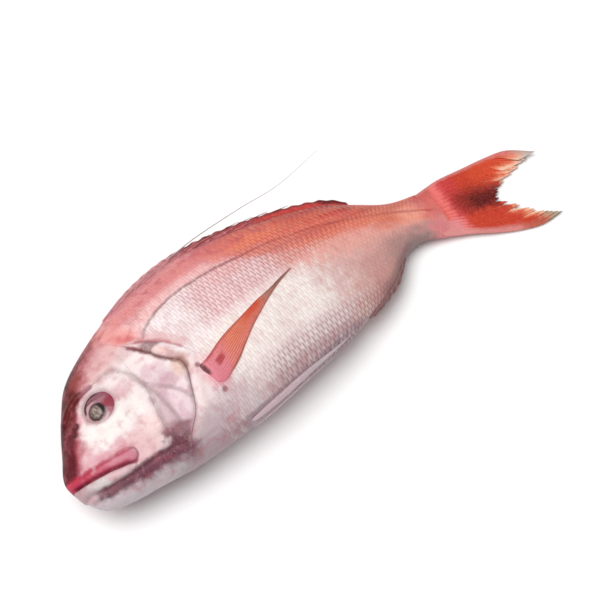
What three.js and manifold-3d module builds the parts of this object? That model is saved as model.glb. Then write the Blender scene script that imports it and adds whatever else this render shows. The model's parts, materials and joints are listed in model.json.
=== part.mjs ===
// A whole raw sea bream, laid on its right side.
//
// Units are millimetres and +Z is up. The fish is first described straight, in its own frame:
// x runs from the snout to the tail, y from the belly to the back, and z from its right side to
// its left. lay() then puts every point down on the table: the tail sinks to the table and
// curves towards the belly, and the flank that carries the weight goes flat.

import * as THREE from 'three';
import Module from 'manifold-3d';

const wasm = await Module();
wasm.setup();

// Driving dimensions ---------------------------------------------------------------------------

const BODY_LENGTH = 292;
const MID_HEIGHT = 24;
const WIDEST_AT = 0.42;

// Profile of the body: distance from the snout, height of the back, of the belly, half width.
const PROFILE = [
  [0, 0, 0, 0],
  [8, 15, -24, 9],
  [20, 31, -30, 14],
  [40, 51, -34.5, 20],
  [70, 64, -41, 25],
  [105, 71, -44, 27],
  [145, 70, -44, 26],
  [190, 59.5, -42, 20],
  [235, 43, -29.5, 12.5],
  [265, 25.5, -11.5, 8],
  [292, 22, -15, 3.5],
];

// How the fish lies.
const TAIL_TURN = THREE.MathUtils.degToRad(13);
const TURN_FROM = 150;
const TURN_TO = 300;
const SINK_FROM = 140;
const SINK_TO = 300;
const SINK = 20.5;
const TAIL_FLAT_AT = 335;
const TAIL_REST_HEIGHT = 1;

// Gaps between neighbouring pieces.
const GAP = 0.3;

const EYE = { x: 42, y: 20.5, radius: 9.8, dome: 1.4, depth: 7.5 };
const MOUTH = { line: [[-4, -2.5], [3, -5], [12, -8.5], [24, -13], [37, -19]], slit: 0.8 };
const GILL_COVER = {
  thickness: 1,
  top: 35,
  bottom: -31,
  front: [[-31, 61], [-26, 61], [-18, 61], [-10, 63], [0, 66], [8, 68.5], [20, 69], [35, 71]],
  rear: [[-31, 68], [-27, 73], [-22, 80], [-10, 87.5], [0, 93], [6, 94], [15, 88], [22, 85], [35, 79]],
};
const PECTORAL = {
  thickness: 1.1,
  upper: [[101, -3], [120, 0], [140, 3.5], [155, 5.5], [170, 7.8], [184, 9.8]],
  lower: [[101, -20], [112, -18.5], [124, -14], [140, -7], [155, 0], [170, 5.4], [184, 8.8]],
};
// The pelvic fins lie back along the belly. Their edges are turns around the section, in degrees
// from the belly's midline, against distance from the snout.
const PELVIC = {
  thickness: 1.1,
  near: [[104, 9], [125, 7], [150, 8], [182, 12]],
  far: [[104, 20], [125, 25], [150, 22], [182, 14]],
};
const DORSAL = {
  from: 82,
  to: 247,
  height: [[82, 0.8], [100, 3], [125, 4.6], [160, 5], [215, 4.6], [236, 4.4], [247, 2.2]],
  baseHalf: 1.5,
  tipHalf: 0.7,
};
const ANAL = {
  from: 208,
  to: 256,
  height: [[208, 0.8], [214, 3.4], [232, 4], [246, 4], [256, 1.4]],
  baseHalf: 1.4,
  tipHalf: 0.6,
};
const FILAMENT = {
  radius: 0.45,
  tipRadius: 0.25,
  sides: 6,
  points: [[140, 72.2, 27], [162, 72.8, 25.4], [200, 71.6, 20], [230, 68.9, 16.8], [267, 70.7, 16.2]],
};
const TAIL_FIN = {
  rootHalf: 1.3,
  edgeHalf: 0.45,
  rays: 22,
  steps: 8,
  top: [[292, 21], [305, 24.5], [325, 25], [345, 24.3], [362, 21.5], [379, 11]],
  fork: [336, -4.5],
  bottom: [[292, -14], [305, -20], [320, -27], [337, -33.5], [352, -37], [368, -36]],
  upperEdge: [[379, 11], [366, 8.5], [356, 5.5], [345, 2], [336, -4.5]],
  lowerEdge: [[336, -4.5], [340, -11], [347, -18], [355, -27], [368, -36]],
};

// Curves ---------------------------------------------------------------------------------------

const lerp = THREE.MathUtils.lerp;
const smooth = (t) => THREE.MathUtils.smoothstep(t, 0, 1);

// Smooth curve through [x, value] points, flat beyond its ends.
function through(points, x) {
  const last = points.length - 1;
  if (x <= points[0][0]) return points[0][1];
  if (x >= points[last][0]) return points[last][1];
  const slope = (i) => {
    const a = points[Math.max(i - 1, 0)];
    const b = points[Math.min(i + 1, last)];
    return (b[1] - a[1]) / (b[0] - a[0]);
  };
  let i = 0;
  while (x > points[i + 1][0]) i += 1;
  const [x0, y0] = points[i];
  const [x1, y1] = points[i + 1];
  const span = x1 - x0;
  const t = (x - x0) / span;
  const s = 1 - t;
  return y0 * (1 + 2 * t) * s * s + slope(i) * span * t * s * s
    + y1 * t * t * (3 - 2 * t) - slope(i + 1) * span * t * t * s;
}

// The profile is a smooth curve in the square root of the distance, which rounds the snout.
const rooted = (column) => PROFILE.map((row) => [Math.sqrt(row[0]), row[column]]);
const BACK = rooted(1);
const BELLY = rooted(2);
const HALF_WIDTH = rooted(3);

function section(x) {
  const u = Math.sqrt(Math.max(x, 0));
  const back = through(BACK, u);
  const belly = through(BELLY, u);
  return { back, belly, half: through(HALF_WIDTH, u), widest: lerp(belly, back, WIDEST_AT) };
}

// Half width of the section at height y: fuller towards the belly, slimmer towards the back.
function halfWidthAt(x, y) {
  const { back, belly, half, widest } = section(x);
  const above = y > widest;
  const t = Math.min(above ? (y - widest) / (back - widest) : (widest - y) / (widest - belly), 1);
  return half * (above ? (1 - t ** 1.9) ** 0.62 : (1 - t ** 2.3) ** 0.55);
}

// Point on the skin at a turn around the section: 0 is the left side, 90 degrees the back.
function skin(x, turn) {
  const { back, belly, widest } = section(x);
  const rise = Math.sin(turn);
  const y = widest + rise * (rise > 0 ? back - widest : widest - belly);
  const z = halfWidthAt(x, y) * Math.sign(Math.cos(turn));
  return new THREE.Vector3(x, y, z);
}

// Turn around the section at which the left or right skin has height y.
function turnAt(x, y, side) {
  const { back, belly, widest } = section(x);
  const rise = (y - widest) / (y > widest ? back - widest : widest - belly);
  const turn = Math.asin(THREE.MathUtils.clamp(rise, -1, 1));
  return side > 0 ? turn : Math.PI - turn;
}

function skinNormal(x, turn) {
  const step = 0.01;
  const along = skin(x + 0.5, turn).sub(skin(x - 0.5, turn));
  const around = skin(x, turn + step).sub(skin(x, turn - step));
  return new THREE.Vector3().crossVectors(around, along).negate().normalize();
}

// The backbone on the table: the fish bends towards its belly between TURN_FROM and TURN_TO.
const BONE_STEP = 1;
const bone = [[0, 0]];
const boneTurn = (x) => -TAIL_TURN * smooth((x - TURN_FROM) / (TURN_TO - TURN_FROM));
for (let x = 0; x < 400; x += BONE_STEP) {
  const turn = boneTurn(x + BONE_STEP / 2);
  const [px, py] = bone[bone.length - 1];
  bone.push([px + BONE_STEP * Math.cos(turn), py + BONE_STEP * Math.sin(turn)]);
}

function middleHeight(x) {
  const t = THREE.MathUtils.clamp((x - SINK_FROM) / (SINK_TO - SINK_FROM), 0, 1);
  const sunk = MID_HEIGHT - SINK * t ** 1.6;
  const settle = smooth((x - SINK_TO) / (TAIL_FLAT_AT - SINK_TO));
  return lerp(sunk, TAIL_REST_HEIGHT, settle);
}

// Puts a point of the straight fish on the table, no lower than the height given.
function lay(point, lowest = 0) {
  const turn = boneTurn(point.x);
  const at = Math.max(point.x, 0) / BONE_STEP;
  const i = Math.floor(at);
  const bx = lerp(bone[i][0], bone[i + 1][0], at - i) + Math.min(point.x, 0);
  const by = lerp(bone[i][1], bone[i + 1][1], at - i);
  return new THREE.Vector3(
    bx - point.y * Math.sin(turn),
    by + point.y * Math.cos(turn),
    Math.max(point.z + middleHeight(point.x), lowest),
  );
}

// Point at a depth under the laid-down skin (a negative depth is outside it).
function underSkin(x, turn, depth) {
  const point = skin(x, turn).addScaledVector(skinNormal(x, turn), -depth);
  return lay(point, depth < 0 ? -Infinity : depth);
}

// Closed solids --------------------------------------------------------------------------------

// A solid from rings of points, all of one length, closed by a fan at each end.
function loft(rings) {
  const around = rings[0].length;
  const vertices = rings.flat();
  const triangles = [];
  for (let i = 0; i < rings.length - 1; i += 1) {
    for (let j = 0; j < around; j += 1) {
      const a = i * around + j;
      const b = i * around + ((j + 1) % around);
      triangles.push(a, b, a + around, b, b + around, a + around);
    }
  }
  const ends = [[0, false], [rings.length - 1, true]];
  for (const [ring, flip] of ends) {
    const middle = vertices.length;
    const centre = new THREE.Vector3();
    rings[ring].forEach((p) => centre.addScaledVector(p, 1 / around));
    vertices.push(centre);
    for (let j = 0; j < around; j += 1) {
      const a = ring * around + j;
      const b = ring * around + ((j + 1) % around);
      triangles.push(...(flip ? [a, b, middle] : [b, a, middle]));
    }
  }
  return solid(vertices, triangles);
}

function solid(vertices, triangles) {
  const vertProperties = new Float32Array(vertices.flatMap((p) => [p.x, p.y, p.z]));
  const make = (triVerts) => new wasm.Manifold(new wasm.Mesh({ numProp: 3, vertProperties, triVerts }));
  const made = make(new Uint32Array(triangles));
  if (made.volume() > 0) return made;
  return make(new Uint32Array(triangles).reverse());
}

// A plate that follows the skin. place(s, t) gives [x, turn]: s runs across it, t along it.
function plate(place, outer, inner, across, along) {
  const rings = [];
  for (let i = 0; i <= along; i += 1) {
    const spots = [];
    for (let j = 0; j <= across; j += 1) spots.push(place(j / across, i / along));
    rings.push([
      ...spots.map(([x, turn]) => underSkin(x, turn, outer)),
      ...spots.reverse().map(([x, turn]) => underSkin(x, turn, inner)),
    ]);
  }
  return loft(rings);
}

// A fin folded down to a low ridge along the back (side 1) or the belly (side -1).
function ridge(fin, side, steps) {
  const rings = [];
  for (let i = 0; i <= steps; i += 1) {
    const x = lerp(fin.from, fin.to, i / steps);
    const base = side > 0 ? section(x).back + GAP : section(x).belly - GAP;
    const height = through(fin.height, x);
    const shape = [[0, -1], [0, 1], [0.7, 0.9], [1, 0.3], [1, -0.3], [0.7, -0.9]];
    rings.push(shape.map(([up, out]) => {
      const half = lerp(fin.baseHalf, fin.tipHalf, up);
      return lay(new THREE.Vector3(x, base + side * up * height, out * half));
    }));
  }
  return loft(rings);
}

// Body -----------------------------------------------------------------------------------------

function bodySolid() {
  const stations = 64;
  const around = 44;
  const rings = [];
  for (let i = 1; i <= stations; i += 1) {
    const x = BODY_LENGTH * (i / stations) ** 1.5;
    const ring = [];
    for (let j = 0; j < around; j += 1) ring.push(lay(skin(x, (j / around) * 2 * Math.PI)));
    rings.push(ring);
  }
  return loft(rings);
}

// The mouth is a narrow slit that runs right through the head, from the snout to its corners.
function mouthSlit() {
  const half = MOUTH.slit / 2;
  const upper = MOUTH.line.map(([x, y]) => [x, y + half]);
  const lower = MOUTH.line.map(([x, y]) => [x, y - half]).reverse();
  const outline = [...upper, ...lower];
  const ring = (z) => outline.map(([x, y]) => new THREE.Vector3(x, y, z));
  return loft([ring(-MID_HEIGHT), ring(3 * MID_HEIGHT)]);
}

// Eyes -----------------------------------------------------------------------------------------

// The eyeball is a squat ball with a shallow clear dome in front; grow makes its socket.
function eyeSolid(side, grow, front) {
  const turn = turnAt(EYE.x, EYE.y, side);
  const out = skinNormal(EYE.x, turn);
  const radius = EYE.radius + grow;
  const profile = [new THREE.Vector2(0, -EYE.depth - grow)];
  for (let k = 1; k <= 6; k += 1) {
    const angle = (k / 6) * (Math.PI / 2);
    profile.push(new THREE.Vector2(radius * Math.sin(angle), -(EYE.depth + grow) * Math.cos(angle)));
  }
  for (let k = 1; k <= 4; k += 1) {
    const angle = (k / 4) * (Math.PI / 2);
    profile.push(new THREE.Vector2(radius * Math.cos(angle), front * Math.sin(angle)));
  }
  profile[profile.length - 1].x = 0;
  if (grow > 0) profile.splice(7, 4, new THREE.Vector2(radius, front), new THREE.Vector2(0, front));
  const lathe = new THREE.LatheGeometry(profile, 24);
  const toNormal = new THREE.Quaternion().setFromUnitVectors(new THREE.Vector3(0, 1, 0), out);
  lathe.applyQuaternion(toNormal);
  const seat = skin(EYE.x, turn).addScaledVector(out, -0.6);
  lathe.translate(seat.x, seat.y, seat.z + MID_HEIGHT);
  return fromGeometry(lathe);
}

// A three.js geometry with its seams merged, as a solid.
function fromGeometry(geometry) {
  const position = geometry.getAttribute('position');
  const found = new Map();
  const vertices = [];
  const index = [];
  for (let i = 0; i < position.count; i += 1) {
    const p = new THREE.Vector3().fromBufferAttribute(position, i);
    const key = p.toArray().map((v) => Math.round(v * 1e4)).join();
    if (!found.has(key)) {
      found.set(key, vertices.length);
      vertices.push(p);
    }
    index.push(found.get(key));
  }
  const triangles = [];
  const corners = Array.from(geometry.index.array, (i) => index[i]);
  for (let i = 0; i < corners.length; i += 3) {
    const [a, b, c] = corners.slice(i, i + 3);
    if (a !== b && b !== c && c !== a) triangles.push(a, b, c);
  }
  return solid(vertices, triangles);
}

// Gill covers ----------------------------------------------------------------------------------

// The bony plate from the cheek's groove back to its free edge. grow widens it for its recess.
function gillCover(side, grow, outer, inner) {
  const place = (s, t) => {
    const y = lerp(GILL_COVER.bottom - grow, GILL_COVER.top + grow, t);
    const front = through(GILL_COVER.front, y) - grow;
    const rear = through(GILL_COVER.rear, y) + grow;
    const x = lerp(front, rear, s);
    return [x, turnAt(x, y, side)];
  };
  return plate(place, outer, inner, 6, 18);
}

// Fins that lie on the skin --------------------------------------------------------------------

function pectoralFin(side, grow, outer, inner) {
  const first = PECTORAL.upper[0][0];
  const last = PECTORAL.upper[PECTORAL.upper.length - 1][0];
  const place = (s, t) => {
    const x = lerp(first - grow, last + grow, t);
    const y = lerp(through(PECTORAL.lower, x) - grow, through(PECTORAL.upper, x) + grow, s);
    return [x, turnAt(x, y, side)];
  };
  return plate(place, outer, inner, 4, 14);
}

function pelvicFin(side) {
  const first = PELVIC.near[0][0];
  const last = PELVIC.near[PELVIC.near.length - 1][0];
  const place = (s, t) => {
    const x = lerp(first, last, t);
    const degrees = lerp(through(PELVIC.near, x), through(PELVIC.far, x), s);
    const fromBelly = THREE.MathUtils.degToRad(degrees);
    return [x, -Math.PI / 2 + side * fromBelly];
  };
  return plate(place, -GAP - PELVIC.thickness, -GAP, 3, 12);
}

// Tail fin -------------------------------------------------------------------------------------

// A smooth curve along a row of [x, y] points, at t from 0 to 1 of its length.
function along(points, t) {
  const curve = new THREE.CatmullRomCurve3(points.map(([x, y]) => new THREE.Vector3(x, y, 0)));
  return curve.getPointAt(t);
}

// The fan runs from the root to a forked trailing edge. Each ray leans from the straight root
// towards the lobe's own edge, so that the outermost rays are the fin's leading edges.
function tailFin() {
  const { rays, steps, rootHalf, edgeHalf } = TAIL_FIN;
  const rootTop = TAIL_FIN.top[0];
  const rootBottom = TAIL_FIN.bottom[0];
  const rings = [];
  for (let i = 0; i <= steps; i += 1) {
    const t = i / steps;
    const spots = [];
    for (let j = 0; j <= rays; j += 1) {
      const s = j / rays;
      const upper = s <= 0.5;
      const lobe = upper ? s * 2 : (s - 0.5) * 2;
      const edge = upper ? along(TAIL_FIN.upperEdge, lobe) : along(TAIL_FIN.lowerEdge, lobe);
      const root = new THREE.Vector3(rootTop[0] + GAP, lerp(rootTop[1], rootBottom[1], s), 0);
      const straight = root.clone().lerp(edge, t);
      const lead = upper ? along(TAIL_FIN.top, t) : along(TAIL_FIN.bottom, t);
      lead.x += GAP * (1 - t);
      const leadEnd = upper ? TAIL_FIN.upperEdge[0] : TAIL_FIN.lowerEdge.at(-1);
      const leadRoot = upper ? rootTop : rootBottom;
      const bulgeX = lead.x - lerp(leadRoot[0] + GAP, leadEnd[0], t);
      const bulgeY = lead.y - lerp(leadRoot[1], leadEnd[1], t);
      const share = upper ? 1 - lobe : lobe;
      straight.x += bulgeX * share;
      straight.y += bulgeY * share;
      spots.push(straight);
    }
    const half = lerp(rootHalf, edgeHalf, smooth(t));
    const face = (spot, z) => lay(new THREE.Vector3(spot.x, spot.y, z));
    rings.push([
      ...spots.map((spot) => face(spot, half)),
      ...spots.reverse().map((spot) => face(spot, -half)),
    ]);
  }
  return loft(rings);
}

// Dorsal filament ------------------------------------------------------------------------------

// The long soft tip of a dorsal spine. Its points are already where it lies.
function filament() {
  const curve = new THREE.CatmullRomCurve3(FILAMENT.points.map((p) => new THREE.Vector3(...p)));
  const steps = 14;
  const rings = [];
  for (let i = 0; i <= steps; i += 1) {
    const t = i / steps;
    const centre = curve.getPointAt(t);
    const tangent = curve.getTangentAt(t);
    const across = new THREE.Vector3(0, 0, 1).cross(tangent).normalize();
    const up = tangent.clone().cross(across);
    const radius = lerp(FILAMENT.radius, FILAMENT.tipRadius, t);
    const ring = [];
    for (let j = 0; j < FILAMENT.sides; j += 1) {
      const angle = (j / FILAMENT.sides) * 2 * Math.PI;
      const offset = across.clone().multiplyScalar(radius * Math.cos(angle));
      offset.addScaledVector(up, radius * Math.sin(angle));
      ring.push(centre.clone().add(offset));
    }
    rings.push(ring);
  }
  return loft(rings);
}

// Assembly -------------------------------------------------------------------------------------

const FINISH = {
  skin: { color: '#d98f88', roughness: 0.35, metalness: 0 },
  gillCover: { color: '#e2c3c4', roughness: 0.3, metalness: 0 },
  eye: { color: '#5c4440', roughness: 0.12, metalness: 0 },
  fin: { color: '#c4503c', roughness: 0.45, metalness: 0 },
  paleFin: { color: '#d9bdb2', roughness: 0.45, metalness: 0 },
  filament: { color: '#8d8280', roughness: 0.6, metalness: 0 },
};

const fish = new THREE.Group();
fish.name = 'whole_raw_fish';

function addPiece(name, finish, made) {
  const { vertProperties, triVerts } = made.getMesh();
  const geometry = new THREE.BufferGeometry();
  geometry.setAttribute('position', new THREE.BufferAttribute(new Float32Array(vertProperties), 3));
  geometry.setIndex(new THREE.BufferAttribute(new Uint32Array(triVerts), 1));
  const mesh = new THREE.Mesh(geometry, new THREE.MeshStandardMaterial(FINISH[finish]));
  mesh.name = name;
  fish.add(mesh);
}

const SIDES = [['left', 1], ['right', -1]];
const CLEAR = 4;

let body = bodySolid().subtract(mouthSlit());
for (const [, side] of SIDES) {
  body = body.subtract(eyeSolid(side, GAP, CLEAR * 2));
  body = body.subtract(gillCover(side, GAP, -CLEAR, GILL_COVER.thickness + GAP));
}
body = body.subtract(pectoralFin(-1, GAP, -CLEAR, PECTORAL.thickness + GAP));
addPiece('body', 'skin', body);

for (const [name, side] of SIDES) {
  addPiece(`${name}_eye`, 'eye', eyeSolid(side, 0, EYE.dome));
  addPiece(`${name}_gill_cover`, 'gillCover', gillCover(side, 0, 0, GILL_COVER.thickness));
  addPiece(`${name}_pelvic_fin`, 'paleFin', pelvicFin(side));
}
addPiece('left_pectoral_fin', 'fin', pectoralFin(1, 0, -GAP - PECTORAL.thickness, -GAP));
addPiece('right_pectoral_fin', 'fin', pectoralFin(-1, 0, 0, PECTORAL.thickness));
addPiece('dorsal_fin', 'fin', ridge(DORSAL, 1, 30));
addPiece('anal_fin', 'fin', ridge(ANAL, -1, 14));
addPiece('tail_fin', 'fin', tailFin());
addPiece('dorsal_filament', 'filament', filament());

// The group's origin goes to the middle of its base.
const box = new THREE.Box3().setFromObject(fish);
const middle = box.getCenter(new THREE.Vector3());
fish.position.set(-middle.x, -middle.y, -box.min.z);

export default fish;
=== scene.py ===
# %% [markdown]
# # A whole raw sea bream
#
# This lesson builds the skin, eyes and fins of a red sea bream that lies on its right side. The
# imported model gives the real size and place. First load it and keep its box, because nothing
# here may grow out of it.

# %% Load the frame
import json
import math

import bpy
import numpy as np
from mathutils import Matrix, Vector

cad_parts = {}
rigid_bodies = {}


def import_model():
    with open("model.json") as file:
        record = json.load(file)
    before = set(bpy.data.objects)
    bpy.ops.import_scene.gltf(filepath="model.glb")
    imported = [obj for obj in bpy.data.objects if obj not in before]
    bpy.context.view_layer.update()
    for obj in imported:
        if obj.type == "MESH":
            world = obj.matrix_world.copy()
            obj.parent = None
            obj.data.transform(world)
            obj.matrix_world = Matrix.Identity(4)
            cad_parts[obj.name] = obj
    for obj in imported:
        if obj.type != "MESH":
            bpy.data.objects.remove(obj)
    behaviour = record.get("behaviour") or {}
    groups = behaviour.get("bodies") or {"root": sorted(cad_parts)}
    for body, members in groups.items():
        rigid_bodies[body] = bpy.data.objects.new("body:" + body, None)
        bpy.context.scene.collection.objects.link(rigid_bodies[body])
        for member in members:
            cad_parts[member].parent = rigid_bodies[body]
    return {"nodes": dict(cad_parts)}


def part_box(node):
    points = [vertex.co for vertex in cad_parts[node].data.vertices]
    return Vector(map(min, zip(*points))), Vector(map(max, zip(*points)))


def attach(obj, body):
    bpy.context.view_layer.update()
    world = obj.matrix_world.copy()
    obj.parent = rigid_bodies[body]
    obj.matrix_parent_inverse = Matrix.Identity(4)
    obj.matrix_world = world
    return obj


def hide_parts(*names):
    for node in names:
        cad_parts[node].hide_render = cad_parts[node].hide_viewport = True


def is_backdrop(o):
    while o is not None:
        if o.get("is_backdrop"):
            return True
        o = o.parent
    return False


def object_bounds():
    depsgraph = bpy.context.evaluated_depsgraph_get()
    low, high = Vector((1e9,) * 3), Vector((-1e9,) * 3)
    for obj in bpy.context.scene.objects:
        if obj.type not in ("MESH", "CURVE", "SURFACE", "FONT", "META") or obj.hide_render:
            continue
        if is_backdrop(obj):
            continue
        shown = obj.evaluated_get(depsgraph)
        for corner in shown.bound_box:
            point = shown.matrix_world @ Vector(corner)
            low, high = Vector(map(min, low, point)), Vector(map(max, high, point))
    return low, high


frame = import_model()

CAD_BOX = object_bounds()
MM = 0.001
print("nodes in the frame:", len(frame["nodes"]))

# %% [markdown]
# ## The shape of the fish
#
# The fish is described straight and in millimetres: x from the snout to the tail, y from the
# belly to the back, z from its right side to its left. Three curves along x say how high the
# back is, how low the belly is and how wide the fish is. A drawn mesh could be pulled about
# instead, but with formulas each later piece can ask where the skin is and lie on it.

# %% Profile of the body
PROFILE = np.array([
    # from the snout, back, belly, half width
    [0, 0, 0, 0],
    [8, 15, -24, 9],
    [20, 31, -30, 14],
    [40, 51, -34.5, 20],
    [70, 64, -41, 25],
    [105, 71, -44, 27],
    [145, 70, -44, 26],
    [190, 59.5, -42, 20],
    [235, 43, -29.5, 12.5],
    [265, 25.5, -11.5, 8],
    [292, 22, -15, 3.5],
    [302, 23.5, -18.5, 0.9],
])
WIDEST_AT = 0.42
BODY_END = 302


def through(points, x):
    """A smooth curve through [x, value] points, flat beyond its ends."""
    xs, ys = np.asarray(points, float).T
    slopes = np.empty_like(ys)
    slopes[1:-1] = (ys[2:] - ys[:-2]) / (xs[2:] - xs[:-2])
    slopes[0] = (ys[1] - ys[0]) / (xs[1] - xs[0])
    slopes[-1] = (ys[-1] - ys[-2]) / (xs[-1] - xs[-2])
    x = np.clip(x, xs[0], xs[-1])
    i = np.clip(np.searchsorted(xs, x, side="right") - 1, 0, len(xs) - 2)
    span = xs[i + 1] - xs[i]
    t = (x - xs[i]) / span
    s = 1 - t
    start = ys[i] * (1 + 2 * t) * s * s + slopes[i] * span * t * s * s
    return start + ys[i + 1] * t * t * (3 - 2 * t) - slopes[i + 1] * span * t * t * s


def ease(value, start, end):
    """0 before start and 1 after end, smooth between them."""
    t = np.clip((value - start) / (end - start), 0, 1)
    return t * t * (3 - 2 * t)


ROOT = np.sqrt(PROFILE[:, 0])


def section(x):
    """Height of the back, of the belly, of the widest line, and the half width there."""
    root = np.sqrt(np.maximum(x, 0))
    back, belly, half = (through(np.stack([ROOT, PROFILE[:, k]], 1), root) for k in (1, 2, 3))
    return back, belly, belly + (back - belly) * WIDEST_AT, half


def skin(x, turn):
    """Point on the skin. A turn of 0 is the left flank, a quarter turn is the back."""
    x, turn = np.broadcast_arrays(np.asarray(x, float), turn)
    back, belly, widest, half = section(x)
    rise = np.sin(turn)
    y = widest + rise * np.where(rise > 0, back - widest, widest - belly)
    t = np.abs(rise)
    z = half * np.where(rise > 0, (1 - t**1.9) ** 0.62, (1 - t**2.3) ** 0.55)
    return np.stack([x, y, z * np.sign(np.cos(turn))], -1)


def turn_at(x, y, side):
    """The turn at which the left (1) or right (-1) skin has height y."""
    back, belly, widest, _ = section(x)
    rise = (y - widest) / np.where(y > widest, back - widest, widest - belly)
    turn = np.arcsin(np.clip(rise, -1, 1))
    return turn if side > 0 else math.pi - turn


def skin_normal(x, turn):
    along = skin(x + 0.5, turn) - skin(x - 0.5, turn)
    around = skin(x, turn + 0.01) - skin(x, turn - 0.01)
    out = np.cross(along, around)
    return out / np.maximum(np.linalg.norm(out, axis=-1, keepdims=True), 1e-9)


print("deepest body:", round(float(np.ptp(skin(115.0, np.linspace(0, 6.28, 90))[:, 1])), 1), "mm")

# %% [markdown]
# ## How it lies
#
# A dead fish on a table is not straight. Its tail sinks to the table, its tail stalk curves
# towards the belly, and the flank below goes flat under the weight. One function puts a point
# of the straight fish on the table, so every piece bends by the same rule and none comes loose.
# The shift to the frame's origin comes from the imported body's own box.

# %% Lay it on the table
MID_HEIGHT = 24
TAIL_TURN = math.radians(13)
TURN_FROM, TURN_TO = 150, 300
SINK_FROM, SINK_TO, SINK = 140, 300, 20.5
TAIL_FLAT_AT, TAIL_REST_HEIGHT = 335, 1
CONTACT_ROUNDING = 1.0
FIRST_RING = 0.57

bone_x = np.arange(401.0)


def bone_turn(x):
    return -TAIL_TURN * ease(x, TURN_FROM, TURN_TO)


bone_step = bone_turn(bone_x[:-1] + 0.5)
BONE_X = np.concatenate([[0], np.cumsum(np.cos(bone_step))])
BONE_Y = np.concatenate([[0], np.cumsum(np.sin(bone_step))])

body_low, body_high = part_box("body")
highest_back = section(np.linspace(60, 180, 600))[0].max()
ORIGIN = np.array([FIRST_RING - body_low.x / MM, highest_back - body_high.y / MM, 0])


def middle_height(x):
    sunk = MID_HEIGHT - SINK * np.clip((x - SINK_FROM) / (SINK_TO - SINK_FROM), 0, 1) ** 1.6
    settle = ease(x, SINK_TO, TAIL_FLAT_AT)
    return sunk + (TAIL_REST_HEIGHT - sunk) * settle


def on_table(height):
    """No lower than the table, with a soft edge where the flank meets it."""
    r = CONTACT_ROUNDING
    curve = (height + r) ** 2 / (4 * r)
    return np.where(height < -r, 0, np.where(height > r, height, curve))


def lay(points):
    """Straight fish in millimetres to the frame in metres."""
    x, y, z = np.moveaxis(np.asarray(points, float), -1, 0)
    turn = bone_turn(x)
    bone_at = np.clip(x, 0, None)
    bx = np.interp(bone_at, bone_x, BONE_X) + np.minimum(x, 0)
    by = np.interp(bone_at, bone_x, BONE_Y)
    height = on_table(z + middle_height(x))
    laid = np.stack([bx - y * np.sin(turn), by + y * np.cos(turn), height], -1)
    return (laid - ORIGIN) * MM


print("origin of the frame, in the fish's millimetres:", ORIGIN.round(2))

# %% [markdown]
# ## Lines on the skin
#
# The mouth, the edges of the bones in the cheek, the gill opening and the lateral line are each
# a short curve in x and y. The distance from a curve, in millimetres, is a field over the skin.
# It shapes the relief in the mesh and later tells the material where to paint, so form and
# colour always meet. Painting by hand would have to be done again after each change of shape.

# %% Curves of the head and flank
MOUTH = [(-2, -2.6), (3, -5.2), (12, -8.7), (24, -13.3), (37, -19.2)]
LIP_TOP = [(1, 1.5), (6, -1), (12, -3.3), (26, -7.4), (36, -10.4), (40.5, -13), (40, -17), (37, -19.2)]
JAW_EDGE = [(4, -14), (9, -16.5), (15, -18.8), (30, -22.6), (50, -26), (60, -28.6), (68, -32)]
JAW_FOLD = [(6, -19), (15, -23.3), (30, -27), (50, -30.6), (66, -34.5), (84, -36)]
BROW = [(21, 27), (26, 31), (33, 34), (40, 34.6), (47, 34)]
COVER_FRONT = [(61, -31), (61, -26), (61, -18), (63, -10), (66, 0), (68.5, 8), (69, 20), (71, 35)]
COVER_REAR = [(68, -31), (73, -27), (80, -22), (87.5, -10), (93, 0), (94, 6), (91.5, 10), (88, 15),
              (85, 22), (82, 29), (79, 35)]
LATERAL = [(89, 35), (94, 38), (100, 40.5), (110, 43), (120, 43.6), (130, 43.1), (150, 40.5),
           (170, 37), (190, 33.5), (215, 28), (240, 21), (265, 14), (292, 6)]
SHOULDER = [(72, 66), (77, 54), (81, 45), (87, 36), (92, 27), (97, 15)]
CHEEK = [(50, 33), (56, 34), (62, 32), (66, 26), (68, 18), (68, 10)]
COLLAR = [(84, 34), (89, 30), (94, 25), (98, 18), (100, 13)]
EYE = {"x": 42.5, "y": 20.5, "radius": 9.9}
NOSTRILS = [(26, 22, 1.7), (22.3, 18.6, 0.9)]
# places of painted shade in the folds at the root of the pectoral fin
ARM_FOLD_SHADE = [(99, -3), (101, -8), (101, -23)]


def way_along(line):
    """Length along a line of [x, y] points, from its start to each point."""
    return np.concatenate([[0], np.cumsum(np.hypot(*np.diff(line, axis=0).T))])


def smooth_line(points, count=60):
    """The curve through the points, cut into short straight pieces."""
    points = np.array(points, float)
    way = way_along(points)
    t = np.linspace(0, way[-1], count)
    return np.stack([through(np.stack([way, points[:, k]], 1), t) for k in (0, 1)], 1)


def distance(points, x, y):
    """Millimetres from a curve, positive on its left as it is drawn, so above one drawn to +x."""
    line = smooth_line(points)
    nearest = np.full(np.shape(x), 1e9)
    side = np.ones(np.shape(x))
    for (ax, ay), (bx, by) in zip(line[:-1], line[1:]):
        dx, dy = bx - ax, by - ay
        t = np.clip(((x - ax) * dx + (y - ay) * dy) / (dx * dx + dy * dy), 0, 1)
        gap = np.hypot(x - ax - t * dx, y - ay - t * dy)
        side = np.where(gap < nearest, np.sign(dx * (y - ay) - dy * (x - ax)), side)
        nearest = np.minimum(gap, nearest)
    return nearest * side


def hump(value, width):
    """A soft bump, 1 where value is 0 and nearly gone at 2 widths."""
    return np.exp(-((value / width) ** 2))


print("lateral line:", round(float(way_along(smooth_line(LATERAL))[-1])), "mm long")

# %% [markdown]
# ## Where the scales sit
#
# Scales overlap like roof tiles, each with its free rounded edge towards the tail, in rows that
# are set off by half a scale. On a fish of this length they are about 3.7 mm apart and get
# smaller on the tail stalk. Each point of the skin gets a scale address: how many scales it is
# from the snout, and how many rows from the middle of the flank. A ready-made cell pattern would
# run through the body in straight lines, but these addresses follow its skin.

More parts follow.
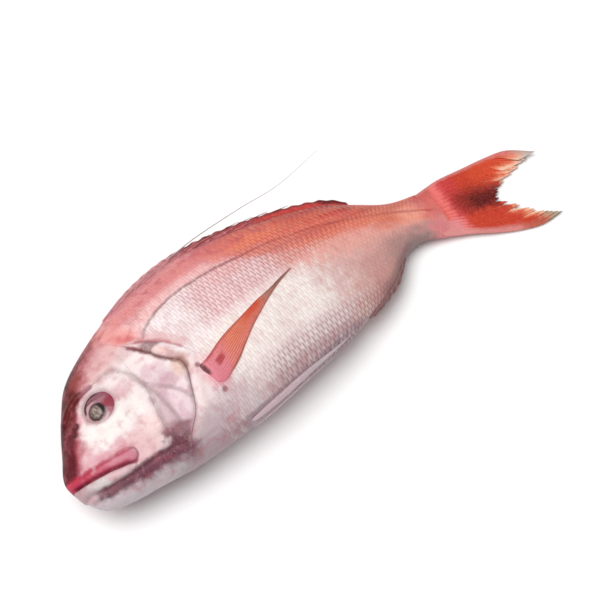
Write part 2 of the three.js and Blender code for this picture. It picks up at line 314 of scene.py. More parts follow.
# %% Scale addresses and relief
SCALE_LENGTH = [(0, 2.4), (60, 2.9), (100, 3.7), (180, 3.7), (240, 3.1), (302, 2.3)]
ROW_HEIGHT = [(0, 5.0), (60, 6.0), (100, 7.4), (180, 7.4), (240, 6.0), (302, 4.6)]
SCALE_REACH = 0.8
SCALE_ROUND = 1.15

address_x = np.arange(0, 311.0)
ADDRESS = np.concatenate([[0], np.cumsum(1 / through(SCALE_LENGTH, address_x[:-1] + 0.5))])


def girth(x, turn, steps=24):
    """Millimetres along the skin from the widest line, positive towards the back."""
    total = np.zeros(np.shape(turn))
    before = skin(x, np.zeros(np.shape(turn)))
    for k in range(1, steps + 1):
        now = skin(x, turn * k / steps)
        total += np.linalg.norm(now - before, axis=-1)
        before = now
    return total * np.sign(turn)


def left_turn(turn):
    """The same height on the left side, so that both sides share one set of fields."""
    return np.arcsin(np.clip(np.sin(turn), -1, 1))


def scale_address(x, turn):
    rows = girth(x, left_turn(turn)) / through(ROW_HEIGHT, x)
    return np.interp(x, address_x, ADDRESS), rows


def behind_edge(a, b):
    """How far ahead of its scale's free edge a point is, in scales: 0 at the edge."""
    front, found = [], []
    for offset in (0, 0.5):
        across = b - offset - np.round(b - offset)
        reach = np.sqrt(np.maximum(SCALE_REACH**2 - (SCALE_ROUND * across) ** 2, 0))
        centre = np.ceil(a - offset - reach)
        front.append(centre + offset)
        found.append(centre + offset + reach - a)
    return np.where(front[0] < front[1], found[0], found[1])


flank_ends = np.interp([90, 292], address_x, ADDRESS)
print("scales along the flank:", round(float(np.ptp(flank_ends))))

# %% [markdown]
# ## From rings of points to a piece
#
# Each piece is a loft: rings of points, one after another, joined by four-sided faces and closed
# at both ends. Fields, such as the distance from the mouth, are stored with the points as
# attributes. A map unrolls the loft into a rectangle, so that a texture can be baked later.

# %% Volume
def signed_volume(mesh):
    """Six times the enclosed volume, below zero if the faces point inwards."""
    mesh.calc_loop_triangles()
    spots = np.zeros(len(mesh.vertices) * 3)
    mesh.vertices.foreach_get("co", spots)
    corners = np.zeros(len(mesh.loop_triangles) * 3, int)
    mesh.loop_triangles.foreach_get("vertices", corners)
    a, b, c = np.moveaxis(spots.reshape(-1, 3)[corners.reshape(-1, 3)], 1, 0)
    return float(np.einsum("ij,ij->i", a, np.cross(b, c)).sum())

# %% Loft helper
def loft(name, rings, fields, slot_name, stands_for=(), straight=True, flat=False):
    """A closed piece from rings of points (ring, point, xyz). A flat one closes with a strip."""
    rows, around = rings.shape[:2]
    ends = np.stack([rings[0].mean(0), rings[-1].mean(0)])
    points = np.concatenate([rings.reshape(-1, 3), ends])
    at = np.arange(rows * around).reshape(rows, around)
    u = (np.arange(rows) + 1) / (rows + 1)
    v = np.arange(around + 1) / around
    i, j = np.divmod(np.arange((rows - 1) * around), around)
    k = (j + 1) % around
    faces = np.stack([at[i, j], at[i + 1, j], at[i + 1, k], at[i, k]], -1).tolist()
    unrolled = np.stack([u[i], v[j], u[i + 1], v[j], u[i + 1], v[j + 1], u[i], v[j + 1]], -1)
    maps = [unrolled.reshape(-1, 2)]
    for end, row, edge, inner in ((0, 0, 0.0, u[0]), (1, rows - 1, 1.0, u[-1])):
        for n in range(around // 2 - 1 if flat else around):
            near, beside = at[row, n], at[row, (n + 1) % around]
            if flat:
                face = [near, beside, at[row, around - 2 - n], at[row, around - 1 - n]]
                corners = [(inner, v[n]), (inner, v[n + 1]), (edge, v[n + 1]), (edge, v[n])]
            else:
                face = [rows * around + end, beside, near]
                corners = [(edge, v[n]), (inner, v[n + 1]), (inner, v[n])]
            faces.append(face[::-1] if end == 0 else face)
            maps.append(np.array(corners[::-1] if end == 0 else corners))
    if flat:
        points = points[:-2]
    mesh = bpy.data.meshes.new(name)
    placed = lay(points) if straight else (points - ORIGIN) * MM
    mesh.from_pydata(placed.tolist(), [], faces)
    for field, values in fields.items():
        values = np.asarray(values, float).reshape(rows * around, -1)
        if not flat:
            caps = [values[:around].mean(0), values[-around:].mean(0)]
            values = np.concatenate([values, caps])
        kind, part = ("FLOAT_VECTOR", "vector") if values.shape[1] == 3 else ("FLOAT", "value")
        mesh.attributes.new(field, kind, "POINT").data.foreach_set(part, values.ravel())
    mesh.uv_layers.new(name="OFBake").data.foreach_set("uv", np.concatenate(maps).ravel())
    mesh.polygons.foreach_set("use_smooth", np.ones(len(mesh.polygons), bool))
    mesh.update()
    if signed_volume(mesh) < 0:
        mesh.flip_normals()
    piece = bpy.data.objects.new(name, mesh)
    bpy.context.scene.collection.objects.link(piece)
    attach(piece, "root")
    if stands_for:
        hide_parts(*stands_for)
    size = [round(float(span) / MM, 1) for span in np.ptp(placed, axis=0)]
    print(f"{name}: {len(mesh.polygons)} faces, {size} mm")
    return piece

# %% Grids and lumps
def grid(rows, columns):
    """Two arrays from 0 to 1, the first along the rows and the second across them."""
    return np.meshgrid(np.linspace(0, 1, rows), np.linspace(0, 1, columns), indexing="ij")


def ring_grid(rows, around):
    """From 0 to 1 along a rod, and the angle around it."""
    t, k = np.meshgrid(np.linspace(0, 1, rows), np.arange(around), indexing="ij")
    return t, 2 * math.pi * k / around


def ripple(points, size, seed, waves=7):
    """A smooth uneven field from -1 to 1, with lumps of about the given size in millimetres."""
    draw = np.random.default_rng(seed)
    total = np.zeros(points.shape[:-1])
    for _ in range(waves):
        way = draw.normal(size=3)
        way *= 2 * math.pi / (size * draw.uniform(0.8, 1.5) * np.linalg.norm(way))
        total += np.sin(points @ way + draw.uniform(0, 2 * math.pi))
    return total / waves * 1.6

# %% [markdown]
# ## Fields over the skin
#
# The body and the gill covers share one skin, so they share one set of fields. Most are
# distances in millimetres from a line. The distances from the back's and the belly's middle are
# measured along the skin, because there the skin turns away from the side view.

# %% Skin fields
RED_BACK_EDGE = [(0, 40), (60, 50), (90, 49), (120, 49), (145, 46), (162, 39), (180, 28), (205, 18),
                 (235, 13), (262, 9), (302, 2)]


ARM = {"x": 104, "y": -12, "half_length": 7, "half_height": 10}


def skin_fields(x, turn):
    """All fields at points of the skin, as arrays of the same shape as x and turn."""
    point = skin(x, turn)
    y = point[..., 1]
    level = left_turn(turn)
    round_mm = girth(x, level)
    quarter = np.full(np.shape(turn), math.pi / 2)
    a, b = scale_address(x, turn)
    hub = skin(EYE["x"], turn_at(EYE["x"], EYE["y"], 1))
    axis = skin_normal(EYE["x"], turn_at(EYE["x"], EYE["y"], 1))
    folded = point * np.array([1, 1, 0]) + np.abs(point[..., 2:]) * np.array([0, 0, 1])
    from_hub = folded - hub
    off_axis = from_hub - (from_hub @ axis)[..., None] * axis
    return {
        "skin_mm": point,
        "scale_at": np.stack([a, b, np.sign(np.cos(turn))], -1),
        "red_back": y - through(RED_BACK_EDGE, x),
        "under_back": section(x)[0] - y,
        "over_belly": y - section(x)[1],
        "from_back": girth(x, quarter) - round_mm,
        "from_belly": round_mm - girth(x, -quarter),
        "mouth": distance(MOUTH, x, y),
        "lip": distance(LIP_TOP, x, y),
        "jaw": distance(JAW_EDGE, x, y),
        "brow": distance(BROW, x, y),
        "cover_front": -distance(COVER_FRONT, x, y),
        "cover_rear": distance(COVER_REAR, x, y),
        "lateral": distance(LATERAL, x, y),
        "shoulder": distance(SHOULDER, x, y),
        "cheek": distance(CHEEK, x, y),
        "collar": distance(COLLAR, x, y),
        "eye": np.linalg.norm(off_axis, axis=-1),
        "nostril": np.min([np.hypot(x - nx, y - ny) - r for nx, ny, r in NOSTRILS], axis=0),
        "arm": np.hypot((x - ARM["x"]) / ARM["half_length"], (y - ARM["y"]) / ARM["half_height"]),
        "arm_spots": np.min([np.hypot(x - ax, y - ay) for ax, ay in ARM_FOLD_SHADE], axis=0),
    }


SCALES_START = [(-46, 76), (-22, 92), (0, 99), (15, 98), (30, 93), (40, 87), (52, 81), (70, 74)]


def trunk(fields):
    """1 where the skin carries scales: behind the shoulder, and faintly up the nape."""
    x, y = fields["skin_mm"][..., 0], fields["skin_mm"][..., 1]
    behind = ease(x - through(SCALES_START, y), -1, 6)
    nape = ease(y, 44, 54) * ease(x, 48, 64)
    return np.maximum(behind, 0.35 * nape) * ease(x, 298, 284)

# %% [markdown]
# ## The body
#
# The head and trunk are one grown piece, so they are one mesh: rings of points from snout to
# tail, packed closer on the head, where the bones and lips are. Each point then moves along the
# skin's normal by its relief: the socket of the eye, the cleft of the mouth, the seat of the
# gill cover, the lateral line and the overlapping scales. Sculpting could do the same, but the
# sum of named reliefs stays exact and easy to change.

# %% Body relief
COVER_SEAT = 1.3
SCALE_RELIEF = 0.12
CHEEK_BONE = [(30, 6), (44, 4.5), (56, 10), (61, 22)]
VENT_AT = 203


def mouth_relief(f):
    x = f["skin_mm"][..., 0]
    front = ease(x, 41, 35)
    cleft = -2.4 * hump(f["mouth"], 0.9) * front
    lip = ease(f["mouth"], 0.2, 1.6) * ease(-f["lip"], -0.1, 1.4) * ease(x, 43, 39)
    groove = -0.45 * hump(f["lip"], 0.9) * ease(x, 0, 5) * ease(x, 44, 40)
    chin = 0.8 * hump(f["mouth"] + 3.4, 2.4) * ease(x, 36, 24)
    return cleft + 0.7 * lip * ease(x, 44, 30) + groove + chin


def head_relief(f):
    x, y, _ = np.moveaxis(f["skin_mm"], -1, 0)
    socket = -3.4 * ease(f["eye"], EYE["radius"] + 0.6, EYE["radius"] - 2.2)
    rim = 0.7 * hump(f["eye"] - EYE["radius"] - 1.8, 1.3)
    brow = (0.7 * hump(f["brow"] - 2.2, 1.8) - 0.7 * hump(f["brow"], 1.0)) * ease(x, 18, 24)
    jaw = -0.9 * hump(f["jaw"], 1.3) + 0.5 * hump(f["jaw"] - 3.4, 2.2)
    folds = -0.45 * hump(distance(JAW_FOLD, x, y), 0.9)
    nostrils = 0.35 * hump(f["nostril"] - 0.5, 0.6) - 1.3 * ease(f["nostril"], 0.3, -0.7)
    cheek_bone = 0.5 * hump(distance(CHEEK_BONE, x, y), 2.6)
    return socket + rim + brow + jaw + folds + nostrils + cheek_bone


def gill_relief(f):
    y = f["skin_mm"][..., 1]
    height = ease(y, -32.5, -30.5) * ease(y, 36.5, 34.5)
    seat = ease(f["cover_front"], 0.1, 0.8) * ease(f["cover_rear"], -0.7, 0.3) * height
    opening = 0.9 * hump(f["cover_rear"] + 0.7, 1.2) * ease(y, -36, -30) * ease(y, 41, 33)
    opening *= 0.3 + 0.7 * ease(y, -16, 6)
    collar = 0.7 * hump(f["cover_rear"] + 5.0, 2.6) * ease(y, -34, -24) * ease(y, 36, 26)
    notch = -0.8 * hump(f["shoulder"], 1.6) * ease(y, 46, 36) * ease(y, 22, 30)
    return -COVER_SEAT * seat - opening + collar + notch


def trunk_relief(f):
    x, y, _ = np.moveaxis(f["skin_mm"], -1, 0)
    a, b, _ = np.moveaxis(f["scale_at"], -1, 0)
    scales = SCALE_RELIEF * (1 - 1.4 * behind_edge(a, b)) * trunk(f)
    line = -0.2 * hump(f["lateral"], 0.7) + 0.16 * hump(f["lateral"] - 1.2, 0.8)
    sheath = -0.5 * hump(f["from_back"] - 4.5, 1.1) * ease(x, 84, 100) * ease(x, 250, 236)
    keel = -0.4 * hump(f["from_belly"] - 6, 1.2) * ease(x, 88, 104) * ease(x, 200, 180)
    arm = 1.1 * hump(f["arm"], 1.0)
    vent = -0.8 * hump(np.hypot(x - VENT_AT, f["from_belly"]), 2.4)
    lumps = 0.35 * ripple(f["skin_mm"], 34, 5) + 0.1 * ripple(f["skin_mm"], 11, 6)
    return scales + line + sheath + keel + arm + vent + lumps * ease(x, 6, 40)

# %% Body mesh
def ring_places(start, end, spacing):
    """Distances from the snout at which rings lie a given number of millimetres apart."""
    fine = np.linspace(math.sqrt(start), math.sqrt(end), 4000) ** 2
    back, belly, _, half = section(fine)
    steps = np.sqrt(np.diff(fine) ** 2 + (np.abs(np.diff(back)) + np.abs(np.diff(belly))) ** 2 / 6)
    rings = np.concatenate([[0], np.cumsum(steps / spacing((fine[1:] + fine[:-1]) / 2))])
    return np.interp(np.arange(int(rings[-1]) + 1), rings, fine)


def turns_by_length(upper_count, lower_count):
    """Turns around the section, evenly spaced along the skin, closer on the upper flank."""
    turns = []
    for start, count in ((-math.pi / 2, upper_count), (math.pi / 2, lower_count)):
        fine = np.linspace(start, start + math.pi, 2000)
        points = skin(130.0, fine)
        way = np.concatenate([[0], np.cumsum(np.linalg.norm(np.diff(points, axis=0), axis=1))])
        turns.append(np.interp(np.linspace(0, way[-1], count, endpoint=False), way, fine))
    return np.concatenate(turns)


HEAD_END, HEAD_RING_GAP, TRUNK_RING_GAP = 100, 0.645, 0.87
UPPER_TURNS, LOWER_TURNS = 150, 84

body_x = ring_places(0.05, BODY_END, lambda x: np.where(x < HEAD_END, HEAD_RING_GAP, TRUNK_RING_GAP))
body_turn = turns_by_length(UPPER_TURNS, LOWER_TURNS)
grid_x, grid_turn = np.meshgrid(body_x, body_turn, indexing="ij")
body_fields = skin_fields(grid_x, grid_turn)
body_fields["scaled"] = trunk(body_fields)
relief = sum(part(body_fields) for part in (mouth_relief, head_relief, gill_relief, trunk_relief))
relief *= ease(grid_x, 0.2, 3) * ease(grid_x, BODY_END, BODY_END - 4)
body_points = skin(grid_x, grid_turn)
along = np.gradient(body_points, axis=0)
around = np.roll(body_points, -1, axis=1) - np.roll(body_points, 1, axis=1)
body_out = np.cross(along, around)
body_out /= np.maximum(np.linalg.norm(body_out, axis=-1, keepdims=True), 1e-9)
body = loft("sea_bream_body", body_points + relief[..., None] * body_out, body_fields, "skin", ["body"])

# %% [markdown]
# ## Gill covers
#
# A gill cover is a thin bony plate under skin. It starts at the ridge of the cheek, and its rear
# edge is free, so a dark slit shows behind it. It is a plate of its own, laid in a shallow seat
# in the body, a little proud at its free edge. A crease in the body would never give that slit.

# %% Plates that follow the skin
SIDES = {1: "left", -1: "right"}


def two_faces(top, under, fields):
    """Rings that run over the top and back along the underside, and their fields."""
    rings = np.concatenate([top, under[:, ::-1]], axis=1)
    both = {key: np.concatenate([value, value[:, ::-1]], axis=1) for key, value in fields.items()}
    return rings, both


def plate(name, x, turn, outer, inner, fields, slot_name, stands_for=()):
    """A closed plate. x, turn and the heights over the skin are arrays (along, across)."""
    out = skin_normal(x, turn)
    base = skin(x, turn)
    top = base + out * np.asarray(outer)[..., None]
    under = base + out * np.asarray(inner)[..., None]
    return loft(name, *two_faces(top, under, fields), slot_name, stands_for, flat=True)


def rounded(s, power):
    """1 in the middle of a fin and 0 at both of its edges."""
    return np.sqrt(np.clip(1 - (2 * s - 1) ** 2, 0, 1)) ** power

# %% Gill covers
COVER_LOW, COVER_HIGH = -31.4, 35.4
COVER_THICKNESS = 1.1
FREE_EDGE = [(68, -31), (73, -27), (80, -22), (87.5, -10), (93, 0), (94, 6), (88, 15), (85, 22), (79, 35)]


COVER_BONES = [
    [(69.5, 10), (70.5, 2), (70.5, -8), (70, -20), (68, -27)],
    [(70, 9), (76, 2), (82, -8), (84, -14)],
]


def across_at(points, y):
    """The x of a curve of (x, y) points at a height of y."""
    return through([(y_at, x_at) for x_at, y_at in points], y)


def gill_cover(side):
    along_t, across_s = grid(120, 56)
    y = COVER_LOW + (COVER_HIGH - COVER_LOW) * along_t
    front = across_at(COVER_FRONT, y)
    width = across_at(FREE_EDGE, y) - front
    x = front + width * across_s
    turn = turn_at(x, y, side)
    f = skin_fields(x, turn)
    free = ease((1 - across_s) * width, 0, 1.0) * ease(along_t, 0, 0.02) * ease(along_t, 1, 0.98)
    grown = ease(across_s * width, 0, 1.2)
    f["bone"] = sum(hump(distance(line, x, y), 1.5) for line in COVER_BONES)
    lift = 0.45 * ease(across_s, 0.5, 1.0) * ease(y, -24, 8) - 0.2 * f["bone"]
    lift = lift + 0.12 * ripple(f["skin_mm"], 9, 8)
    sunk = 0.3 * (1 - free) + 0.06 * (1 - grown)
    outer = np.where(side > 0, lift * free * grown, 0) - sunk
    inner = np.full(x.shape, -COVER_THICKNESS)
    name = SIDES[side]
    return plate(f"{name}_gill_plate", x, turn, outer, inner, f, "gill_cover", [f"{name}_gill_cover"])


gill_covers = [gill_cover(side) for side in (1, -1)]

# %% [markdown]
# ## Eyes
#
# The eye is a ball that shows as a shallow dome. A few hours after the catch it sinks and its
# pupil goes cloudy, and the lens inside still pushes the clear front out a little. The dome is
# lofted in rings around its own axis, and the distance from the pupil is stored for the paint.

# %% Eyeballs
PUPIL = (-3.0, -2.0)
LENS = {"radius": 4.6, "height": 0.9}
DOME_RINGS, RIM_RINGS = 34, 6
DOME_HEIGHT, EYE_SUNK, RIM_DEPTH = 1.7, 1.5, 6


def eyeball(side):
    turn = turn_at(EYE["x"], EYE["y"], side)
    hub = skin(EYE["x"], turn)
    out = skin_normal(EYE["x"], turn)
    ahead = np.array([1.0, 0, 0]) - out * out[0]
    ahead /= np.linalg.norm(ahead)
    up = np.cross(out, ahead) * side
    bend = np.linspace(0.25, 1.35, RIM_RINGS)
    reach = np.concatenate([np.linspace(0.3, EYE["radius"], DOME_RINGS), EYE["radius"] * np.cos(bend)])
    sink = np.concatenate([np.zeros(DOME_RINGS), -RIM_DEPTH * np.sin(bend)])
    angle = np.linspace(0, 2 * math.pi, 96, endpoint=False)
    r, a = np.meshgrid(reach, angle, indexing="ij")
    px, py = r * np.cos(a), r * np.sin(a)
    from_pupil = np.hypot(px - PUPIL[0], py - PUPIL[1])
    dome = DOME_HEIGHT * (1 - (r / EYE["radius"]) ** 2) - EYE_SUNK
    dome += LENS["height"] * ease(from_pupil, LENS["radius"] + 0.6, LENS["radius"] - 2.0)
    on_dome = np.arange(len(reach))[:, None] < DOME_RINGS
    height = np.where(on_dome, dome, sink[:, None] - EYE_SUNK)
    points = hub + px[..., None] * ahead + py[..., None] * up + height[..., None] * out
    name = SIDES[side]
    fields = {"from_pupil": from_pupil, "from_middle": r, "eye_at": np.stack([px, py, height], -1)}
    return loft(f"{name}_eyeball", points, fields, "eye", [f"{name}_eye"])


eyes = [eyeball(side) for side in (1, -1)]

# %% [markdown]
# ## Fins that lie on the skin
#
# A fin is a fan of bony rays with thin skin between them. The pectoral fins are folded back
# along the flank and the pelvic fins along the belly, so their rays lie almost side by side.
# Each is a plate on the skin whose top has one low ridge for each ray.

# %% Pectoral fins
PECTORAL_UPPER = [(98, -4), (106, -3.2), (120, 0.4), (140, 3), (152, 4.8), (164, 6), (174, 8), (185, 10)]
PECTORAL_LOWER = [(98, -17), (104, -20.5), (112, -18.8), (120, -16), (130, -11), (140, -6.2),
                  (150, -2.2), (158, 1), (170, 5.2), (185, 9.3)]
PECTORAL_START, PECTORAL_TIP = 98.2, 184.6
RAYS_IN_PECTORAL = 12


def ray_fields(t, s, rays):
    """Along the fin, across it, and the ridge of each ray."""
    ridge = 0.5 + 0.5 * np.cos(2 * math.pi * rays * s)
    return {"fin_at": np.stack([t, s, ridge], -1)}


def pectoral(side):
    t, s = grid(150, 74)
    x = PECTORAL_START + (PECTORAL_TIP - PECTORAL_START) * t
    lower, upper = through(PECTORAL_LOWER, x), through(PECTORAL_UPPER, x)
    y = lower + (upper - lower) * s
    turn = turn_at(x, y, side)
    fields = ray_fields(t, s, RAYS_IN_PECTORAL)
    fields["skin_mm"] = skin(x, turn)
    round_edge = rounded(s, 0.5) * ease(t, 0, 0.05) * ease(t, 1.004, 0.97)
    thick = through([(0, 1.6), (0.1, 2.0), (0.35, 1.3), (0.7, 0.9), (1, 0.5)], t)
    ridges = 0.34 * fields["fin_at"][..., 2] * ease(t, 0.1, 0.25) * ease(t, 1.0, 0.8)
    leading = 0.5 * hump(s - 0.95, 0.05) * ease(t, 0.05, 0.2)
    outer = (thick + ridges + leading) * round_edge + 0.25
    if side < 0:
        # pressed into the flank by the fish's weight
        outer = 0.02 * ridges
    inner = np.full(x.shape, -0.8 if side < 0 else -0.4)
    name = SIDES[side]
    return plate(f"{name}_pectoral_blade", x, turn, outer, inner, fields, "red_fin",
                 [f"{name}_pectoral_fin"])


pectorals = [pectoral(side) for side in (1, -1)]

# %% [markdown]
# The pelvic fins are shorter and thinner. They lie on either side of the middle of the belly, so
# their place is given in degrees round the section instead of in heights.

# %% Pelvic fins
# degrees round the section from the middle of the belly
PELVIC_NEAR = [(103, 9), (125, 6), (150, 7), (186, 11)]
PELVIC_FAR = [(103, 14), (115, 16), (135, 17), (160, 15.5), (186, 12.5)]
PELVIC_START, PELVIC_TIP = 103.5, 185.5
RAYS_IN_PELVIC = 5


def pelvic(side):
    t, s = grid(120, 40)
    x = PELVIC_START + (PELVIC_TIP - PELVIC_START) * t
    near, far = through(PELVIC_NEAR, x), through(PELVIC_FAR, x)
    degrees = near + (far - near) * s
    turn = -math.pi / 2 + side * np.radians(degrees)
    fields = ray_fields(t, s, RAYS_IN_PELVIC)
    fields["skin_mm"] = skin(x, turn)
    round_edge = rounded(s, 0.6) * ease(t, 0, 0.05) * ease(t, 1.004, 0.95)
    thick = through([(0, 0.9), (0.2, 1.0), (0.6, 0.7), (1, 0.3)], t)
    spine = 0.35 * hump(s - 0.86, 0.09) * ease(t, 0.0, 0.1) * ease(t, 0.75, 0.5)
    ridges = 0.16 * fields["fin_at"][..., 2] * ease(t, 0.08, 0.2)
    outer = (thick + ridges + spine) * round_edge + 0.1
    inner = np.full(x.shape, -0.3)
    name = SIDES[side]
    return plate(f"{name}_pelvic_blade", x, turn, outer, inner, fields, "pale_fin", [f"{name}_pelvic_fin"])


pelvics = [pelvic(side) for side in (1, -1)]

# %% [markdown]
# ## Folded dorsal and anal fins
#
# Folded down, the dorsal fin is a low ridge: stiff spines lie back over each other in a groove,
# with the crumpled skin between them, and the soft rear rays make a small free lobe. The ridge
# is a loft along the back. Each spine is a thin tapered rod of its own that lies on it, and its
# tip stands clear of the skin.

# %% Folded fins
DORSAL_HEIGHT = [(80, 0.2), (100, 2.6), (125, 4.2), (160, 4.6), (205, 4.0), (225, 4.6), (240, 4.6),
                 (248, 2.6)]
ANAL_HEIGHT = [(206, 0.3), (212, 2.2), (232, 2.9), (246, 3.1), (256, 1.5)]


def fold_rings(start, end, heights, side, base_half, seed):
    """Rings of a folded fin: pleated, and leaning over to the fish's left."""
    t, angle = ring_grid(240, 28)
    x = start + (end - start) * t
    up = 0.5 - 0.5 * np.cos(angle)
    back, belly, _, _ = section(x)
    height = through(heights, x)
    pleat = 0.22 * np.sin(x * 1.05 + up * 5.0) + 0.12 * np.sin(x * 2.3 + seed)
    half = base_half * (1 - 0.55 * up) + 0.35 * pleat * up
    jag = 1 + (0.04 + 0.06 * ease(x, 140, 165)) * np.sin(x * 0.83 + seed) * up
    base = back if side > 0 else belly
    y = base + side * (-1.2 + (height * jag + 1.2) * up)
    z = half * np.sin(angle) + 0.6 * up * up
    rings = np.stack([x, y, z], -1)
    ridge = 0.5 + 0.5 * np.sin(x * 1.05 + up * 5.0)
    return rings, {"fin_at": np.stack([t, up, ridge], -1), "skin_mm": rings.copy()}


def spine_rods(places, side, length, lift, radius, lean):
    """Tapered rods that lie back along a folded fin, one stack of rings for each."""
    rods = []
    for n, x0 in enumerate(places):
        t, angle = ring_grid(22, 10)
        x = x0 + length[n] * t
        back, belly, _, _ = section(x)
        base = back if side > 0 else belly
        y = base + side * (0.4 + lift[n] * t)
        z = lean[n] + 0.3 * t
        thick = radius * (1 - 0.85 * t**1.3)
        rods.append(np.stack([x, y + thick * np.cos(angle), z + thick * np.sin(angle)], -1))
    return rods


def rod_fields(rings):
    t, k = grid(*rings.shape[:2])
    return {"fin_at": np.stack([t, k, np.ones_like(t)], -1), "skin_mm": rings.copy()}


dorsal = loft("dorsal_fold", *fold_rings(80, 248, DORSAL_HEIGHT, 1, 1.7, 1.0), "red_fin", ["dorsal_fin"])
anal = loft("anal_fold", *fold_rings(206, 256, ANAL_HEIGHT, -1, 1.6, 2.0), "pale_fin", ["anal_fin"])

# %% Spines
SPINE_RADIUS = 0.7
DORSAL_SPOTS = np.array([84, 90, 97, 105, 114, 124, 135, 146, 157, 168, 179, 190])
DORSAL_LIFT = [(84, 1.4), (150, 3.8), (190, 4.6)]

draw = np.random.default_rng(11)
lengths = 24 + 8 * draw.random(12)
leans = 0.7 + 0.7 * draw.random(12)
lifts = through(DORSAL_LIFT, DORSAL_SPOTS)
dorsal_spines = [
    loft(f"dorsal_spine_{n + 1:02d}", rod, rod_fields(rod), "red_fin")
    for n, rod in enumerate(spine_rods(DORSAL_SPOTS, 1, lengths, lifts, SPINE_RADIUS, leans))
]
anal_rods = spine_rods([207, 211, 216], -1, [12, 17, 19], [2.0, 2.5, 2.7], 0.6, [1.0, 1.2, 0.8])
anal_spines = [
    loft(f"anal_spine_{n + 1}", rod, rod_fields(rod), "pale_fin") for n, rod in enumerate(anal_rods)
]

# %% [markdown]
# ## Tail fin
#
# The tail fin lies flat on the table, closed to a fork. Its rays start at the tail stalk and
# split again and again, and its thin rear edge is torn between them. The fan is a grid: one
# direction runs along the rays and the other across them. Each column ends at its own length,
# which tears the edge, and ridges raise the rays.

# %% Tail fan
TAIL_TOP = [(288, 21), (305, 24.5), (325, 25), (345, 24.3), (362, 21.5), (379, 11)]
TAIL_BOTTOM = [(288, -14), (305, -20), (320, -27), (337, -33.5), (352, -37), (368, -36)]
TAIL_UPPER_EDGE = [(379, 11), (366, 8.5), (356, 5.5), (345, 2), (336, -4.5)]
TAIL_LOWER_EDGE = [(336, -4.5), (340, -11), (347, -18), (355, -27), (368, -36)]
TAIL_START, TAIL_START_TOP, TAIL_START_BOTTOM = 288.0, 21.0, -14.0
FORK_AT = (336, -4)
UNDER_GAP = 0.1
RAYS_IN_TAIL = 17
# where a tear is across the fan, how deep it goes and how wide it is, as shares
TEARS = [(0.06, 0.10, 0.012), (0.14, 0.16, 0.014), (0.23, 0.12, 0.012), (0.30, 0.14, 0.02),
         (0.41, 0.08, 0.01), (0.55, 0.1, 0.012), (0.62, 0.14, 0.014), (0.72, 0.12, 0.02),
         (0.83, 0.1, 0.012)]


def along_line(points, t):
    """Points at shares t of the length of a smooth curve."""
    line = smooth_line(points, 120)
    way = way_along(line)
    return np.stack([np.interp(t * way[-1], way, line[:, k]) for k in (0, 1)], -1)


def tail_outline(t, s):
    """The fan seen from above: x and y in a last axis, and how deep the edge is torn."""
    upper = s <= 0.5
    lobe = np.where(upper, s * 2, s * 2 - 1)
    top = upper[..., None]
    edge = np.where(top, along_line(TAIL_UPPER_EDGE, lobe), along_line(TAIL_LOWER_EDGE, lobe))
    root_y = TAIL_START_TOP - (TAIL_START_TOP - TAIL_START_BOTTOM) * s
    root = np.stack([np.full(t.shape, TAIL_START), root_y], -1)
    lead = np.where(top, along_line(TAIL_TOP, t), along_line(TAIL_BOTTOM, t))
    lead_root = np.where(top, [TAIL_START, TAIL_START_TOP], [TAIL_START, TAIL_START_BOTTOM])
    lead_end = np.where(top, TAIL_UPPER_EDGE[0], TAIL_LOWER_EDGE[-1])
    bulge = lead - (lead_root + (lead_end - lead_root) * t[..., None])
    share = np.where(upper, 1 - lobe, lobe)[..., None]
    tear = sum(depth * hump(s - place, width) for place, depth, width in TEARS)
    tear = tear + 0.03 * (0.5 + 0.5 * np.sin(s * 190)) + 0.02 * (0.5 + 0.5 * np.sin(s * 431 + 1))
    reach = t * (1 - tear * ease(t, 0.45, 1.0))
    return root + (edge - root) * reach[..., None] + bulge * share, tear


def tail_fan():
    t, s = grid(130, 210)
    outline, tear = tail_outline(t, s)
    branching = 1 + ease(t, 0.35, 0.5) + ease(t, 0.6, 0.75)
    ridge = 0.5 + 0.5 * np.cos(2 * math.pi * RAYS_IN_TAIL * s * np.round(branching))
    thick = through([(0, 1.5), (0.2, 1.2), (0.5, 0.6), (0.85, 0.3), (1, 0.16)], t)
    half = thick + 0.26 * ridge * ease(t, 0.05, 0.25) * ease(t, 1.02, 0.8)
    half += 0.5 * (hump(s, 0.02) + hump(s - 1, 0.02)) * ease(t, 1.0, 0.7)
    half *= np.sqrt(np.clip(1 - np.abs(2 * s - 1) ** 24, 0, 1))
    wave = 0.9 + 0.5 * np.sin(s * 9 + t * 3) * ease(t, 0.3, 0.9)
    wave = wave + 1.6 * hump(s - 0.02, 0.08) * ease(t, 0.6, 1.0)
    top = np.dstack([outline, wave + half])
    under = np.dstack([outline, np.maximum(wave - half, UNDER_GAP - TAIL_REST_HEIGHT)])
    fields = {"fin_at": np.stack([t, s, ridge], -1), "skin_mm": np.dstack([outline, 0 * t]),
              "torn": t + 0.3 * tear,
              "fork": np.hypot(outline[..., 0] - FORK_AT[0], outline[..., 1] - FORK_AT[1])}
    return loft("tail_fan", *two_faces(top, under, fields), "red_fin", ["tail_fin"], flat=True)


tail = tail_fan()

# %% [markdown]
# ## The dorsal filament
#
# One dorsal spine of this kind of fish ends in a soft thread, far longer than the spine. It has
# dried straight and stands off the back. A curve object with a bevel would do, but a loft like
# the others keeps its fields for the paint. It tapers along a given line.

# %% Filament
THREAD = [(140, 72.2, 27), (162, 72.8, 25.4), (200, 71.6, 20), (230, 68.9, 16.8), (267, 70.7, 16.2)]


